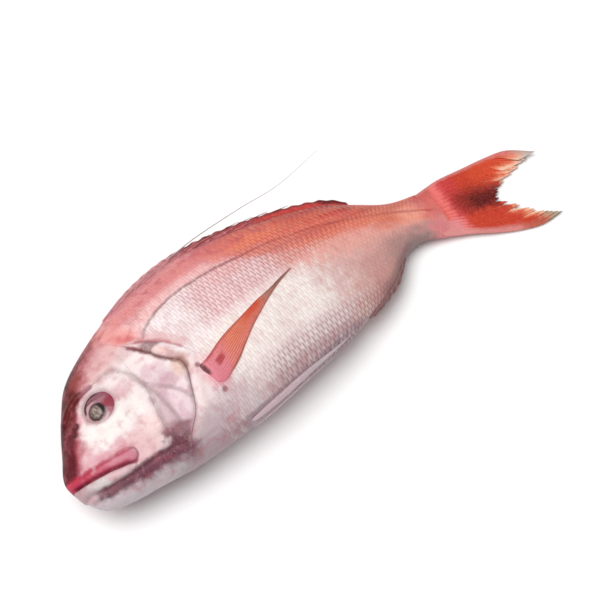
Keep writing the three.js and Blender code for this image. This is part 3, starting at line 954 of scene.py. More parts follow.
points = np.array(THREAD, float)
t, angle = ring_grid(90, 10)
xs = points[0, 0] + (points[-1, 0] - points[0, 0]) * t
ys, zs = (through(points[:, [0, j]], xs) for j in (1, 2))
radius = 0.34 - 0.2 * t
rings = np.stack([xs, ys + radius * np.cos(angle), zs + radius * np.sin(angle)], -1)
thread = loft("dorsal_thread", rings, rod_fields(rings), "filament", ["dorsal_filament"], straight=False)

# %% [markdown]
# ## Colours and nodes
#
# Colours are written as sRGB hex, as in a paint program, but nodes want linear values, so one
# function converts them. A second small function adds a node, with its settings and its links
# in one line, which keeps the long chains of a fish's skin readable.

# %% Node helper
def linear(code):
    parts = np.array([int(code[i:i + 2], 16) / 255 for i in (0, 2, 4)])
    values = np.where(parts <= 0.04045, parts / 12.92, ((parts + 0.055) / 1.055) ** 2.4)
    return (*values.tolist(), 1.0)


def add(tree, kind, settings, links):
    """Adds a node. Each of links is a number, a colour or another node's output."""
    node = tree.nodes.new("ShaderNode" + kind)
    for key, value in settings.items():
        setattr(node, key, value)
    for key, value in links.items():
        if isinstance(value, bpy.types.NodeSocket):
            tree.links.new(value, node.inputs[key])
        else:
            node.inputs[key].default_value = value
    return node


print("coral in linear light:", [round(v, 3) for v in linear("d85f50")[:3]])

# %% [markdown]
# ## Coats of paint
#
# The skin gets its colours as coats, the way a fish painter lays them: pale silver first, then
# rose and red on the back, then the fine dark lines. Each coat names a colour, how strong it is,
# and the ranges of the stored fields where it shows. A range is a field, the value where the
# coat starts to show, and the value where it is full. Noise roughens each range in proportion
# to its softness, so no boundary is a clean airbrush edge.

# %% Coats as a table
def coat_table(text):
    """Coats from rows: a colour and its strength, then each range (field, start, full) after a bar."""
    coats = []
    for row in text.strip().splitlines():
        if not row.startswith("#"):
            (colour, strength), *ranges = (part.split() for part in row.split("|"))
            coats.append((colour, float(strength), [(f, float(a), float(b)) for f, a, b in ranges]))
    return coats

# %% Coats in nodes
RAGGEDNESS = 0.22


def open_material(name):
    material = bpy.data.materials.new(name)
    material.use_nodes = True
    tree = material.node_tree
    tree.nodes.clear()
    return material, tree


def read_fields(tree, vectors, numbers):
    """Sockets for the stored fields: each vector gives three, under the names listed for it."""
    fields = {}
    for attribute, names in vectors.items():
        stored = add(tree, "Attribute", {"attribute_name": attribute}, {})
        parts = add(tree, "SeparateXYZ", {}, {0: stored.outputs["Vector"]})
        fields[attribute] = stored.outputs["Vector"]
        fields.update(zip(names, parts.outputs))
    for attribute in numbers:
        fields[attribute] = add(tree, "Attribute", {"attribute_name": attribute}, {}).outputs["Fac"]
    return fields


def lay_coats(tree, under, coats, fields, ragged):
    """Mixes the coats over the colour under them. Ragged is a noise, or 0 for sharp ranges."""
    for colour, strength, ranges in coats:
        share = strength
        for field, hidden, full in ranges:
            amount = RAGGEDNESS * abs(full - hidden)
            uneven = add(tree, "Math", {"operation": "MULTIPLY_ADD"},
                         {0: ragged, 1: amount, 2: fields[field]})
            limits = {0: uneven.outputs[0], 1: hidden, 2: full}
            shown = add(tree, "MapRange", {"interpolation_type": "SMOOTHSTEP", "clamp": False}, limits)
            share = add(tree, "Math", {"operation": "MULTIPLY"}, {0: shown.outputs[0], 1: share}).outputs[0]
        mixed = add(tree, "Mix", {"data_type": "RGBA"}, {0: share, 6: under, 7: linear(colour)})
        under = mixed.outputs[2]
    return under


def uneven_noise(tree, where, wave_mm, detail=3.0):
    """Noise from about -1 to 1, with lumps of about that many millimetres."""
    noise = add(tree, "TexNoise", {}, {"Vector": where, "Scale": 1 / wave_mm, "Detail": detail})
    limits = {0: noise.outputs[0], 1: 0.3, 2: 0.7, 3: -1.0, 4: 1.0}
    spread = add(tree, "MapRange", {"clamp": False}, limits)
    return spread.outputs[0]

# %% [markdown]
# ## Scales in nodes
#
# The mesh already has each scale as a low step. The material repeats the same sum in nodes to
# find, at any point, how far it is from its scale's free edge and which scale it is on. Then
# each scale can have its own tint and glint, and its edge a thin line of shade. The scales are
# 3.7 mm apart, as on the real fish, so nothing is drawn coarser than it is.

# %% Scale pattern
# each row: a result, the operation and its inputs, which are results, fields or numbers
SCALE_STEPS = [
    ("shifted", "SUBTRACT", "b", "offset"),
    ("row", "ROUND", "shifted"),
    ("across", "SUBTRACT", "shifted", "row"),
    ("wide", "MULTIPLY", "across", SCALE_ROUND),
    ("square", "MULTIPLY", "wide", "wide"),
    ("left", "SUBTRACT", SCALE_REACH**2, "square"),
    ("reach", "SQRT", "left"),
    ("start", "SUBTRACT", "a", "offset"),
    ("ahead", "SUBTRACT", "start", "reach"),
    ("whole", "CEIL", "ahead"),
    ("front", "ADD", "whole", "offset"),
    ("tip", "ADD", "front", "reach"),
    ("depth", "SUBTRACT", "tip", "a"),
    ("line", "ADD", "row", "offset"),
    ("off_middle", "ABSOLUTE", "across"),
]


def scale_nodes(tree, fields):
    """Depth behind the free edge, from 0 to about 1.5, and three random numbers per scale."""
    sets = []
    for offset in (0.0, 0.5):
        at = {"a": fields["a"], "b": fields["b"], "offset": offset}
        for result, operation, *inputs in SCALE_STEPS:
            links = {k: at.get(value, value) for k, value in enumerate(inputs)}
            at[result] = add(tree, "Math", {"operation": operation}, links).outputs[0]
        sets.append([at[key] for key in ("front", "depth", "line", "off_middle")])
    first, second = sets
    on_first = add(tree, "Math", {"operation": "LESS_THAN"}, {0: first[0], 1: second[0]}).outputs[0]
    front, depth, line, off_middle = (
        add(tree, "Mix", {"data_type": "FLOAT"}, {0: on_first, 2: b, 3: a}).outputs[0]
        for a, b in zip(first, second)
    )
    which = add(tree, "CombineXYZ", {}, {0: front, 1: line, 2: fields["side"]})
    random = add(tree, "TexWhiteNoise", {"noise_dimensions": "3D"}, {"Vector": which.outputs[0]})
    dice = add(tree, "SeparateXYZ", {}, {0: random.outputs["Color"]})
    on_line = add(tree, "TexWhiteNoise", {"noise_dimensions": "1D"}, {"W": line})
    return {"depth": depth, "off_middle": off_middle, "dice": dice.outputs[0], "dice_2": dice.outputs[1],
            "row_dice": on_line.outputs[0]}

# %% [markdown]
# ## The colours of the skin
#
# A red sea bream is silver-pink on the flank and coral red on the back, with a redder band
# behind the head. The head's skin lies on bone: silver white on the cheek, wine red along the
# forehead, crimson on the lips. The lists below are coats in the order in which they are laid.

# %% Coats of the flank and back
FLANK = "ecd9d8"
# darker along the lower edge of the tail stalk: painted shade where the skin turns under
# darker band near the belly's edge: painted shade where the flank turns under
# darker close to the back's edge: the back's own deeper red, with painted shade where the skin turns away
# from the light
# painted shade in the groove where the dorsal fin folds down
TRUNK_COATS = coat_table("""
# pearly white along the middle of the flank and behind the shoulder
f6ede7 0.9 | x 96 112 | x 218 180 | y -34 -18 | y 13 3
f6ecec 0.85 | x 86 94 | x 128 106 | y 0 10 | y 43 36
eec2c3 0.6 | x 112 136 | x 190 170 | y 6 14 | y 44 38
dba6a6 0.5 | x 86 90 | x 100 95 | y 13 18 | y 38 33
eeb0ac 0.6 | x 132 152 | x 190 172 | y 26 34 | y 46 40
# the lower flank goes mauve grey, then brown rose towards the vent
decdcb 0.8 | y -20 -36 | x 80 96
cbbcc2 0.7 | x 124 106 | y -12 -26
a98388 0.6 | y -32.5 -38 | x 108 128 | x 206 190
d8b0a8 0.9 | x 178 216 | y 15 -1
c8938a 0.8 | x 204 234 | y 6 -16
# salmon along the lower edge of the red back
e9a396 0.9 | red_back -24 -7 | x 168 188
# rose over the shoulder, coral from the middle of the back to the tail
f0bbb9 0.95 | lateral -0.5 2 | x 74 84 | x 182 165
dc8a8c 0.9 | red_back -1 6 | x 68 78
d9807e 0.6 | under_back 21 15 | under_back 6 10 | x 108 124
e87660 1 | red_back -4 5 | x 146 178
c4302c 0.95 | lateral 3 11 | x 190 212 | x 248 240
f0a696 0.45 | under_back 20 30 | red_back -3 3 | x 164 176 | x 214 198
c24a52 0.6 | under_back 20 8 | x 140 156 | x 200 178
b03a48 0.4 | mottle -0.1 0.9 | under_back 21 12 | x 92 112 | x 214 190
b8606a 0.6 | under_back 9 3 | x 78 96 | x 185 160
9c2c2a 0.8 | under_back 13 3 | x 168 192 | x 262 246
5c1c1c 0.85 | under_back 9 4 | x 233 238 | x 250 245
d97a62 0.9 | x 242 260 | y 0 8
f8a890 0.9 | x 262 274 | y -1 6 | y 19 13
ad8a85 0.85 | x 236 254 | y 4 -6 | x 297 280
8a7b79 0.8 | over_belly 6 1.5 | x 250 262 | x 292 276
dc716a 0.95 | x 278 292 | y -8 4
c8605a 0.8 | x 284 292 | y 12 17
dd8284 0.95 | x 276 290 | y 2 -6
# dark where the dorsal fin folds into its groove
a0606a 0.5 | from_back 5.5 3 | x 80 95 | x 252 244
8f3c40 0.6 | from_back 5.5 3 | x 140 165 | x 252 244
# shade along the belly
93828c 0.75 | over_belly 4.2 2.8 | x 80 94 | x 215 190
7c5f63 0.6 | over_belly 6 1.5 | x 216 232 | x 266 252
""")

# %% [markdown]
# The head has no scales in front, so its colours are those of the skin and of the blood under
# it, with painted shade along the upper edge, under the jaw and in the grooves. They follow the
# bones: the plates of the cheek and gill cover, the brow, the jaws.

# %% Coats of the head
# darker along the nape's edge: painted shade where the skin turns away from the light
# lips; the dark lines in the cleft of the mouth and at its corner are painted shade
# lower jaw: silver, then a plum band that widens towards the throat, partly its own colour and partly
# painted shade under the jaw's edge; the grey along the lower edge is painted shade where the throat turns
# under
# ridge of the cheek bone and the gill opening: the dark lines are painted shade in the grooves and under
# the gill cover's free edge
# wine red along the forehead and snout, darkest near the head's upper edge, where it is painted shade for
# the skin turning away from the light; the dark lines on the brow are painted shade in its groove
HEAD_COATS = coat_table("""
eddcdc 1 | x 100 90 | y -36 -24 | y 42 30
# white of the cheek, rosy behind the eye
f0e8e4 0.95 | x 22 31 | x 66 57 | y -5 2 | y 17 11
dcb2b6 0.7 | x 50 56 | x 67 60 | y 10 16 | y 25 20
f5e2e0 0.8 | x 70 76 | cover_rear -1 1 | y 8 14 | y 34 28
# the gill plate goes lilac below, greyer along its front ridge
ead0d6 0.85 | cover_front 4 9 | cover_rear -1 1 | y 2 -4 | y -26 -18
c7a3ac 0.75 | cover_front -4 0 | cover_front 12 7 | y 6 0 | y -26 -20
cba0aa 0.8 | x 73 78 | x 89 84 | y 8 4 | y -4 0
dcb29c 0.7 | x 84 90 | x 100 94 | y -3 2 | y 11 7
# pink haze on the cheek and above the lip
e2b6b8 0.8 | x 34 44 | x 60 50 | y -1 -8 | y -32 -18
f0cfcc 0.7 | x 50 56 | x 66 60 | y -3 -8 | y -24 -16
ca828e 0.9 | lip 8.5 1 | x 46 36 | x 6 14
bb6a74 0.85 | x 27 18 | y 2 7 | y 22 12
e4a6ac 0.8 | x 36 30 | y 18 22 | y 31 27
d9a3ac 0.85 | x 28 20 | y -6 -1 | y 8 3
d2949e 0.7 | x 24 30 | x 42 34 | y 0 -4 | y -13 -8
# rosy grey over the nape, red towards the shoulder
dcbcbc 0.8 | y 28 33 | x 46 52 | x 84 76
e2b4b3 0.9 | y 31 37 | under_back 32 20 | x 78 68
c47e82 0.85 | under_back 20 9 | x 78 66 | x 34 50
ea9a94 0.85 | shoulder 9 1 | shoulder -11 -3 | y 36 42
cc4a50 0.58 | shoulder 2.4 -0.5 | shoulder -7 -2.5 | y 30 35 | y 54 40
8c4048 0.9 | under_back 12 3 | x 84 66 | x 44 56
# wine red along the forehead and snout
a54452 0.9 | under_back 25 15 | x 32 22 | x 5 10
b0616a 0.85 | under_back 23 15 | x 58 44 | x 22 30
5c1520 0.98 | under_back 19 12 | x 34 24 | x 0 2
8a3a34 0.95 | under_back 17 9 | x 26 32 | x 60 44
5c0f0a 0.98 | under_back 19 13 | x 20 27 | x 43 37
4a1016 0.95 | under_back 8 2 | x 68 44
5c1212 0.95 | brow -2.8 -1 | brow 3.2 1 | x 20 27 | x 50 40
96566a 0.7 | brow -3 -1.2 | brow 1.8 0 | x 36 42 | x 66 52
# lower jaw: silver, then a plum band that widens towards the throat
cfcac8 0.95 | mouth 0 -1 | jaw -1 1 | x 42 34
a98a90 0.7 | mouth 0 -1 | x 12 6
dcb0b8 0.7 | mouth 0 -1.4 | jaw 1 4 | x 16 22 | x 48 42
c6bbc0 0.95 | jaw 0 -3 | x 98 84
a69699 0.8 | over_belly 9 3 | x 40 62 | x 104 92
b49aa0 0.6 | y -20 -28 | cover_rear 1 -1 | x 104 88
541e32 0.92 | jaw -6.5 -2.2 | jaw 3.4 0.6 | x 4 13 | x 72 58
703a4c 0.75 | jaw -9.5 -3.5 | jaw 4.5 -1 | x 22 38 | x 75 64
8a5660 0.9 | jaw -5 0 | jaw 15 9 | x 53 62 | cover_rear -1 2
5c3240 0.8 | jaw -5 0 | jaw 14 6 | x 50 59 | cover_rear 0 2 | mottle -0.6 0.4
# lips
c97c8c 0.9 | lip 1 -0.8 | mouth -0.8 0.4 | x 41.5 37
bb2c46 0.92 | lip 2.6 -0.6 | mouth -1 0.3 | x 27 10
a8304a 0.7 | lip -2.6 -0.4 | lip 2 0.2 | x 6 10 | x 41 34
6e2034 0.6 | lip -1.2 0 | lip 1.1 0.1 | x 35 39 | y -10 -12
a83450 0.85 | mouth -0.9 -0.2 | mouth 3.6 1 | x 39 30
6e1c30 0.75 | mouth -1.1 -0.2 | mouth 1.1 0.1 | x 40 35
# ridge of the cheek bone and the gill opening
9c8280 0.5 | cheek -3 -0.2 | cheek 3 0.2 | x 48 56
8f7674 0.5 | cover_front -2.6 0.4 | cover_front 3.4 0.8 | y -26 -18 | y 20 10
a5898a 0.6 | cover_rear -2.2 -0.2 | cover_rear 3.4 0.4
b98582 0.7 | cover_rear -7 -3 | cover_rear 2 0 | y 3 8 | y 19 13
6e3a36 0.75 | cover_rear -1.9 -0.2 | cover_rear 2.6 0.7 | y 5 10
8a5c4c 0.6 | cover_rear -3.5 -1 | cover_rear 3.5 0.5 | y -1 2 | y 12 7
6c2426 0.72 | cover_rear -10 -7.5 | cover_rear 2 0.3 | y 22 25 | y 33 29.5 | x 81 84.5
6a3436 0.7 | cover_rear -1.6 -0.2 | cover_rear 2 0.4 | y 24 29 | y 38 35
""")

# %% [markdown]
# Last come fine dark marks: the rim of the shoulder behind the gill slit, the lateral line, painted
# shade in the folds at the root of the pectoral fin and in the nostrils, and a ring round the eye.

# %% Coats of the shoulder and the fine lines
# painted shade in the folds at the root of the pectoral fin
# painted shade inside the nostril pits
COLLAR_COATS = coat_table("""
ecd5d4 0.8 | cover_rear -10 -5 | cover_rear -1.4 -2.6 | y 4 -2 | y -30 -18
e8bdb8 0.9 | cover_rear -6.5 -5 | cover_rear -1 -2 | y 14.5 17.5 | y 25 22.5
a8606a 0.8 | collar -2 -0.2 | collar 2.2 0.4
dba4a4 0.6 | collar -1 1 | collar 9 3 | x 86 91 | y 10 14
84464c 0.7 | lateral -1.9 -0.2 | lateral 1.7 0.2 | x 85 94 | x 200 150
a03f34 0.5 | lateral -1.6 -0.2 | lateral 1.5 0.2 | x 150 190
4a1a1e 0.85 | arm_spots 2.6 0.8
e39aa4 0.7 | arm 1.6 0.7
4a1f24 0.9 | nostril 2 -0.2
a8787e 0.5 | eye 13 10.2
""")
print("coats on the skin:", len(TRUNK_COATS) + len(HEAD_COATS) + len(COLLAR_COATS))

# %% [markdown]
# ## Wet fish skin
#
# Fresh skin is thin, wet and slightly slimy. Under the water film lie platelets that make the
# flank silver, so each scale glints on its own. The film is a coat with low roughness. Skin
# itself has an index of refraction of about 1.4 and is fairly rough. The eye sees soft broad
# highlights with small sharp ones on the scales.

# %% Coats on the scales and mottles
# painted glints: white on random scales of the lower flank
SCALE_COATS = coat_table("""
# each scale is a little darker or lighter than the next
b86a70 0.16 | scaled 0 1 | dice 0.5 1
fff4f0 0.2 | scaled 0 1 | dice_2 0.5 1 | red_back 4 -6 | x 235 195
f59a80 0.22 | scaled 0 1 | dice_2 0.5 1 | red_back -4 6
# rows differ on the back, which gives it fine stripes along the fish
f0906a 0.42 | scaled 0 1 | row_dice 0.5 0.9 | red_back -8 6 | x 150 180 | x 275 250
9c2a24 0.24 | scaled 0 1 | row_dice 0.45 0.1 | red_back -8 6 | x 140 175 | x 275 250
# the free edge of each scale is in shade, most on the upper and the lower flank
a0525e 0.2 | scaled 0 1 | depth 0.34 0.08 | off_middle 0.5 0.25
a0525e 0.42 | scaled 0 1 | depth 0.4 0.08 | off_middle 0.5 0.3 | x 108 130 | y 8 16 | y 46 38
8a4038 0.2 | scaled 0 1 | depth 0.5 0.12 | off_middle 0.45 0.2 | x 150 180 | y 12 20
7c4a54 0.42 | scaled 0 1 | depth 0.5 0.15 | off_middle 0.45 0.2 | x 118 140 | y -22 -31
fff6f2 0.4 | scaled 0 1 | depth 0.45 0.7 | x 140 170 | x 225 205 | y -14 -22 | dice_2 0.3 0.9
""")
MOTTLE_COATS = coat_table("""
# blood shows through the thin skin in mottles, most on the head
a8646c 0.16 | speck 0.3 1.1
fff0ec 0.1 | speck -0.3 -1.1 | under_back 16 26
c07a80 0.16 | blotch 0.1 1
b4606a 0.36 | mottle 0 1.2 | x 112 92
b4606a 0.14 | mottle 0 1.2 | x 92 112
fffaf6 0.26 | mottle 0 -1.2 | x 112 92 | under_back 16 30 | y -14 -4
""")

# %% Skin material
SKIN_VECTORS = {"skin_mm": ("x", "y", "z"), "scale_at": ("a", "b", "side")}
SKIN_NUMBERS = ["red_back", "under_back", "over_belly", "cheek", "collar", "from_back", "mouth", "lip",
                "jaw", "brow", "cover_front", "cover_rear", "lateral", "shoulder", "eye", "nostril",
                "arm", "arm_spots", "scaled", "bone"]
LUMPS_MM = {"blotch": 16.0, "speck": 1.1, "mottle": 6.5}
SKIN_IOR, WATER_IOR = 1.38, 1.33
WATER_ROUGHNESS = 0.16
SHARP = 0.0


def wet_fish_skin(name, coats):
    material, tree = open_material(name)
    fields = read_fields(tree, SKIN_VECTORS, SKIN_NUMBERS)
    where = fields["skin_mm"]
    ragged = uneven_noise(tree, where, 5.0, 4.0)
    for lump, size in LUMPS_MM.items():
        fields[lump] = uneven_noise(tree, where, size, 2.0)
    scale = scale_nodes(tree, fields)
    fields.update(scale)
    colour = lay_coats(tree, linear(FLANK), coats, fields, ragged)
    colour = lay_coats(tree, colour, SCALE_COATS + MOTTLE_COATS, fields, SHARP)
    step = add(tree, "Math", {"operation": "MULTIPLY"}, {0: scale["depth"], 1: -1.0}).outputs[0]
    step = add(tree, "Math", {"operation": "MULTIPLY"}, {0: step, 1: fields["scaled"]}).outputs[0]
    height = add(tree, "Math", {"operation": "MULTIPLY_ADD"}, {0: fields["speck"], 1: 0.18, 2: step})
    bump = add(tree, "Bump", {}, {"Strength": 0.8, "Distance": 0.16 * MM, "Height": height.outputs[0]})
    glint = add(tree, "MapRange", {}, {0: scale["dice_2"], 1: 0.0, 2: 1.0, 3: 0.5, 4: 0.34})
    shader = add(tree, "BsdfPrincipled", {}, {
        "Base Color": colour, "Roughness": glint.outputs[0], "IOR": SKIN_IOR, "Specular IOR Level": 0.2,
        "Coat Weight": 0.08, "Coat Roughness": WATER_ROUGHNESS, "Coat IOR": WATER_IOR,
        "Normal": bump.outputs[0]})
    add(tree, "OutputMaterial", {}, {"Surface": shader.outputs[0]})
    print(name, "nodes:", len(tree.nodes))
    return material


# silver and red: to the eye every scale is a small mirror with a rosy edge under a film of water
trunk_skin = wet_fish_skin("wet_scaly_skin", TRUNK_COATS + HEAD_COATS + COLLAR_COATS)
body.data.materials.append(trunk_skin)

# %% Gill cover material
GILL_PLATE_COATS = coat_table("""
8a7476 0.45 | bone 0 1
c9a2b8 0.4 | blotch 0.1 1
""")
# satin silver: the plate's skin is tighter than the trunk's, and the ridges of bone show grey
bone_skin = wet_fish_skin("silver_skin_over_gill_bone", HEAD_COATS + GILL_PLATE_COATS)
for cover in gill_covers:
    cover.data.materials.append(bone_skin)

# %% [markdown]
# ## The eye
#
# The eye's clear front is wet and smooth as glass. Behind it the pupil has gone cloudy grey, with
# a dark ring round it, and blood colours the side towards the tail. The colours are coats again,
# by distance from the pupil.

# %% Eye material
# the cloudy lens, streaked, in a dark ring; the ring's broad tail side is painted shadow under the lens's
# rim
# two rings round the pupil, and a dark line along the upper rim that is painted shadow under the socket's
# rim
EYE_COATS = coat_table("""
# pale towards the snout, dusky above, crimson towards the tail
c79fa3 0.85 | u -2 -6 | v 7 3
7e4a58 0.7 | v 1.5 4.5 | u -5 0
8e2339 0.92 | u 0.5 3.5 | v 2.5 -1 | from_middle 10.4 9.2
8a3044 0.7 | u 5.5 8.5
# two rings round the pupil and a dark line along the upper rim
c4a0a2 0.75 | from_pupil 8.4 7.2 | from_pupil 5.8 6.6 | u 2.5 -1
5a2a34 0.7 | from_pupil 9.4 8.6 | from_pupil 7.4 8.2 | u 3 -1
43141e 0.92 | from_middle 7.4 8.6 | v 1 4 | u 6 3
# the cloudy lens, streaked, in a dark ring that is broad on the tail side
3a201e 0.95 | from_pupil 6 4.8
8f7c72 0.95 | from_pupil 4.4 3 | u 1.2 -0.8
1c0a0a 0.95 | from_pupil 6.4 5 | u -0.6 0.8 | v 7 3
4a362f 0.8 | from_pupil 4.6 3.2 | streak 0 0.5
cdb6aa 0.5 | from_pupil 4 2.4 | streak -0.3 -0.8 | u -0.4 -2
3a1c24 0.7 | from_middle 9.2 9.9
""")


def cloudy_wet_eye():
    material, tree = open_material("cloudy_wet_eye")
    fields = read_fields(tree, {"eye_at": ("u", "v", "w")}, ["from_pupil", "from_middle"])
    where = fields["eye_at"]
    ragged = uneven_noise(tree, where, 2.6, 3.0)
    narrow = add(tree, "Mapping", {}, {"Vector": where, "Scale": (2.4, 0.35, 1.0)})
    fields["streak"] = uneven_noise(tree, narrow.outputs[0], 1.4, 2.0)
    colour = lay_coats(tree, linear("a8747e"), EYE_COATS, fields, ragged)
    fine = uneven_noise(tree, where, 0.8, 2.0)
    bump = add(tree, "Bump", {}, {"Strength": 0.5, "Distance": 0.08 * MM, "Height": fine})
    shader = add(tree, "BsdfPrincipled", {}, {
        "Base Color": colour, "Roughness": 0.32, "IOR": 1.38, "Coat Weight": 0.8, "Coat Roughness": 0.05,
        "Coat IOR": 1.34, "Normal": bump.outputs[0]})
    add(tree, "OutputMaterial", {}, {"Surface": shader.outputs[0]})
    return material


# wet and clear in front, cloudy behind: one sharp highlight over a dull grey pupil
eye_surface = cloudy_wet_eye()
for eye in eyes:
    eye.data.materials.append(eye_surface)

# %% [markdown]
# ## Fin skin over rays
#
# A fin's skin is thin and wet, and its rays are harder, paler and glossier. Each fin material
# reads how far along the fin a point is, how far across, and whether it is on a ray.

# %% Coats of the fins
# dark along the root: painted shade where the fin meets the body
PECTORAL_COATS = coat_table("""
d97c8a 0.95 | t 0.24 0.1
dd7c5e 0.75 | t 0.18 0.32 | s 0.1 0.5
d9452f 0.75 | t 0.4 0.5 | t 0.7 0.62 | s 0.3 0.7
c9a193 0.9 | t 0.6 0.74
9c6a62 0.7 | t 0.66 0.8 | s 0.6 0.9
a04038 0.8 | s 0.84 0.97 | t 0.02 0.1
a8503c 0.6 | s 0.14 0.03 | t 0.1 0.2
a8303a 0.85 | t 0.09 0.12 | t 0.2 0.16 | s 0.42 0.5 | s 0.74 0.66
4a1a1e 0.9 | t 0.05 0.02 | s 0.35 0.5
c2503c 0.4 | ridge 0.45 0.1 | t 0.15 0.3 | t 0.8 0.6
f4b39a 0.3 | ridge 0.7 1 | t 0.15 0.3
""")
PELVIC_COATS = coat_table("""
d9c2c8 0.8 | t 0.1 0.4
c9c4c6 0.7 | t 0.4 0.75
a08790 0.6 | s 0.84 0.98
b6a0a6 0.3 | ridge 0.4 0.1
""")
DORSAL_COATS = coat_table("""
bc6a70 0.8 | x 130 156
c23a34 0.9 | x 170 205
6a2428 0.7 | s 0.5 0.9 | x 150 166
5c1418 0.95 | x 230 238 | s 0.1 0.5
7a3438 0.35 | ridge 0.4 0.05
""")
ANAL_COATS = coat_table("""
6b4a4c 0.85 | s 0.2 0.7
a98480 0.4 | ridge 0.6 1
""")
TAIL_COATS = coat_table("""
# the root has the colours of the tail stalk, then comes a pink band, then crimson
dc716a 1 | x 302 296
c8605a 0.8 | x 303 297 | y 12 18
ee7a76 0.85 | x 297 301 | x 311 305
de8c8e 0.9 | x 310 300 | y -3 -8
cc4046 0.75 | x 303 307 | x 320 312 | y -10 -4
d9502c 0.7 | x 322 336 | y 0 6
a8281a 0.3 | ridge 0.5 0.15 | t 0.15 0.3
# maroon in the middle, as far as the fork
8c2620 0.9 | s 0.22 0.42 | s 0.68 0.5 | x 303 313
560c0c 0.9 | s 0.36 0.46 | s 0.6 0.52 | x 312 324
cf8480 0.8 | s 0.08 0.02
d98f8c 0.85 | s 0.84 0.95 | x 344 334
b4705c 0.6 | s 0.86 0.97 | x 334 344
# the thin rear edge is pale
ee9c78 0.75 | torn 0.84 0.98 | fork 8 20
f0c8b0 0.8 | torn 0.93 1.02 | fork 6 16
b8b0a8 0.85 | x 360 372
a39a84 0.85 | x 350 362 | y -24 -32
""")

# %% [markdown]
# Every fin material is the same wet membrane with its own coats. A raised ray is smoother than
# the skin beside it, so the ridge field goes into the bump, along with fine specks.

# %% Fin material
FIN_VECTORS = {"skin_mm": ("x", "y", "z"), "fin_at": ("t", "s", "ridge")}
FIN_SPECKS = coat_table("""
f0a890 0.1 | speck 0 1
7a2020 0.14 | speck 0 -1
""")


def fin_skin(name, base, coats, numbers=(), roughness=0.36):
    material, tree = open_material(name)
    fields = read_fields(tree, FIN_VECTORS, numbers)
    where = fields["skin_mm"]
    ragged = uneven_noise(tree, where, 4.0, 4.0)
    fields["speck"] = uneven_noise(tree, where, 1.2, 2.0)
    colour = lay_coats(tree, linear(base), coats, fields, ragged)
    colour = lay_coats(tree, colour, FIN_SPECKS, fields, ragged)
    height = add(tree, "Math", {"operation": "MULTIPLY_ADD"},
                 {0: fields["speck"], 1: 0.3, 2: fields["ridge"]})
    bump = add(tree, "Bump", {}, {"Strength": 0.6, "Distance": 0.12 * MM, "Height": height.outputs[0]})
    shader = add(tree, "BsdfPrincipled", {}, {
        "Base Color": colour, "Roughness": roughness, "IOR": SKIN_IOR, "Specular IOR Level": 0.35,
        "Coat Weight": 0.12, "Coat Roughness": WATER_ROUGHNESS, "Coat IOR": WATER_IOR,
        "Normal": bump.outputs[0]})
    add(tree, "OutputMaterial", {}, {"Surface": shader.outputs[0]})
    return material

# %% Paint the fins
SPINE_COATS = coat_table("""
8a3034 0.8 | x 136 164
4a1418 0.7 | t 0.5 1 | x 138 152
c9686a 0.4 | speck 0 1
""")
ANAL_SPINE_COATS = coat_table("""
7c5a60 0.7 | t 0.4 1
""")
THREAD_COATS = coat_table("""
ccc6c2 0.8 | t 0.2 0.9
""")
painted = [
    # wet orange skin over hard rays: fine glossy streaks, pink at the root
    (pectorals, fin_skin("orange_pectoral_membrane", "dd7f76", PECTORAL_COATS)),
    # thin, nearly colourless skin: a dull pale strip against the belly
    (pelvics, fin_skin("pale_pelvic_membrane", "d8c0c4", PELVIC_COATS)),
    # crumpled red skin: a dark uneven edge along the back
    ([dorsal], fin_skin("red_dorsal_membrane", "cc9296", DORSAL_COATS)),
    # crumpled mauve-brown skin: a dark edge along the belly
    ([anal], fin_skin("brown_anal_membrane", "8c6e6c", ANAL_COATS)),
    # stretched red skin over branching rays: deep red that glows towards the pale torn edge
    ([tail], fin_skin("red_tail_membrane", "c8402a", TAIL_COATS, numbers=["torn", "fork"])),
    # bare bone under a film of blood and water: hard dark tips
    (dorsal_spines, fin_skin("red_brown_spine", "c28a8e", SPINE_COATS)),
    (anal_spines, fin_skin("mauve_brown_spine", "86646a", ANAL_SPINE_COATS)),
    # dried thread, rough and matt: a thin line of grey without a highlight
    ([thread], fin_skin("dry_grey_thread", "b0a8a4", THREAD_COATS, roughness=0.6)),
]
for pieces, material in painted:
    for piece in pieces:
        piece.data.materials.append(material)
print("fin materials:", len(painted))

# %% [markdown]
# ## Floor, light and camera
#
# A pale floor and broad soft lights keep the colours true. The main light stands on the side of
# the fish's back, so the flank is bright and the belly side is in gentle shade. The world's
# white light fills that shade.

# %% Floor
FLOOR_SIZE, FLOOR_HEIGHT = 8, -0.0004

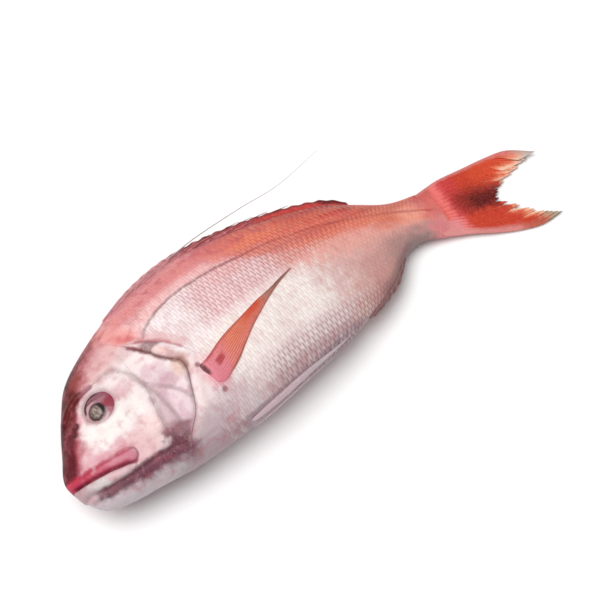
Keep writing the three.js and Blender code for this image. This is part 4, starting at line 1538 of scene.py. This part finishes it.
bpy.ops.mesh.primitive_grid_add(x_subdivisions=8, y_subdivisions=8, size=FLOOR_SIZE,
                                location=(0, 0, FLOOR_HEIGHT))
floor = bpy.context.object
floor.name = "studio_floor"
floor_paint, floor_tree = open_material("matt_white_studio_paint")
floor_place = add(floor_tree, "NewGeometry", {}, {})
floor_noise = add(floor_tree, "TexNoise", {}, {"Vector": floor_place.outputs["Position"], "Scale": 3.0})
floor_mix = {0: floor_noise.outputs[0], 6: linear("fafafa"), 7: linear("fcfcfc")}
floor_colour = add(floor_tree, "Mix", {"data_type": "RGBA"}, floor_mix)
floor_shader = add(floor_tree, "BsdfPrincipled", {},
                   {"Base Color": floor_colour.outputs[2], "Roughness": 0.9})
add(floor_tree, "OutputMaterial", {}, {"Surface": floor_shader.outputs[0]})
floor.data.materials.append(floor_paint)
floor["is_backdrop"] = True

# %% Lights
WORLD_STRENGTH = 0.36


def direction(azimuth, elevation):
    """Unit vector towards a place given by two angles in degrees. 0, 0 is the belly side."""
    a, e = math.radians(azimuth), math.radians(elevation)
    return Vector((math.sin(a) * math.cos(e), -math.cos(a) * math.cos(e), math.sin(e)))


def soft_sun(name, azimuth, elevation, spread, share):
    """A broad lamp that gives a surface facing it this share of full white, the same all over."""
    way = direction(azimuth, elevation)
    lamp = bpy.data.lights.new(name, "SUN")
    lamp.angle = math.radians(spread)
    lamp.energy = share * math.pi
    holder = bpy.data.objects.new(name, lamp)
    holder.location = way * 1.5
    holder.rotation_euler = way.to_track_quat("Z", "Y").to_euler()
    bpy.context.scene.collection.objects.link(holder)
    print(name, round(lamp.energy, 2), "W/m2")


soft_sun("key_softbox", -115, 70, 50, 0.82)
world = bpy.data.worlds.new("white_studio")
bpy.context.scene.world = world
world.use_nodes = True
world.node_tree.nodes["Background"].inputs["Color"].default_value = (1, 1, 1, 1)
world.node_tree.nodes["Background"].inputs["Strength"].default_value = WORLD_STRENGTH

# %% Camera
AZIMUTH, ELEVATION = -44.056, 62.234
DISTANCE = 0.9
LOOK_AT = Vector((-9.175, -8.047, 24.0)) * MM
FOCAL_LENGTH, SENSOR = 88.8, 36

back = direction(AZIMUTH, ELEVATION)
view = bpy.data.cameras.new("camera")
view.lens = FOCAL_LENGTH
view.sensor_width = SENSOR
camera = bpy.data.objects.new("camera", view)
camera.location = LOOK_AT + back * DISTANCE
camera.rotation_euler = back.to_track_quat("Z", "Y").to_euler()
bpy.context.scene.collection.objects.link(camera)
bpy.context.scene.camera = camera
bpy.context.scene.view_settings.view_transform = "Standard"

# %% Sizes
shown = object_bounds()
boxes = {"cad": [[float(v) for v in corner] for corner in CAD_BOX],
         "visual": [[float(v) for v in corner] for corner in shown]}
for key, (low, high) in boxes.items():
    print(key, [round((b - a) / MM, 1) for a, b in zip(low, high)], "mm")
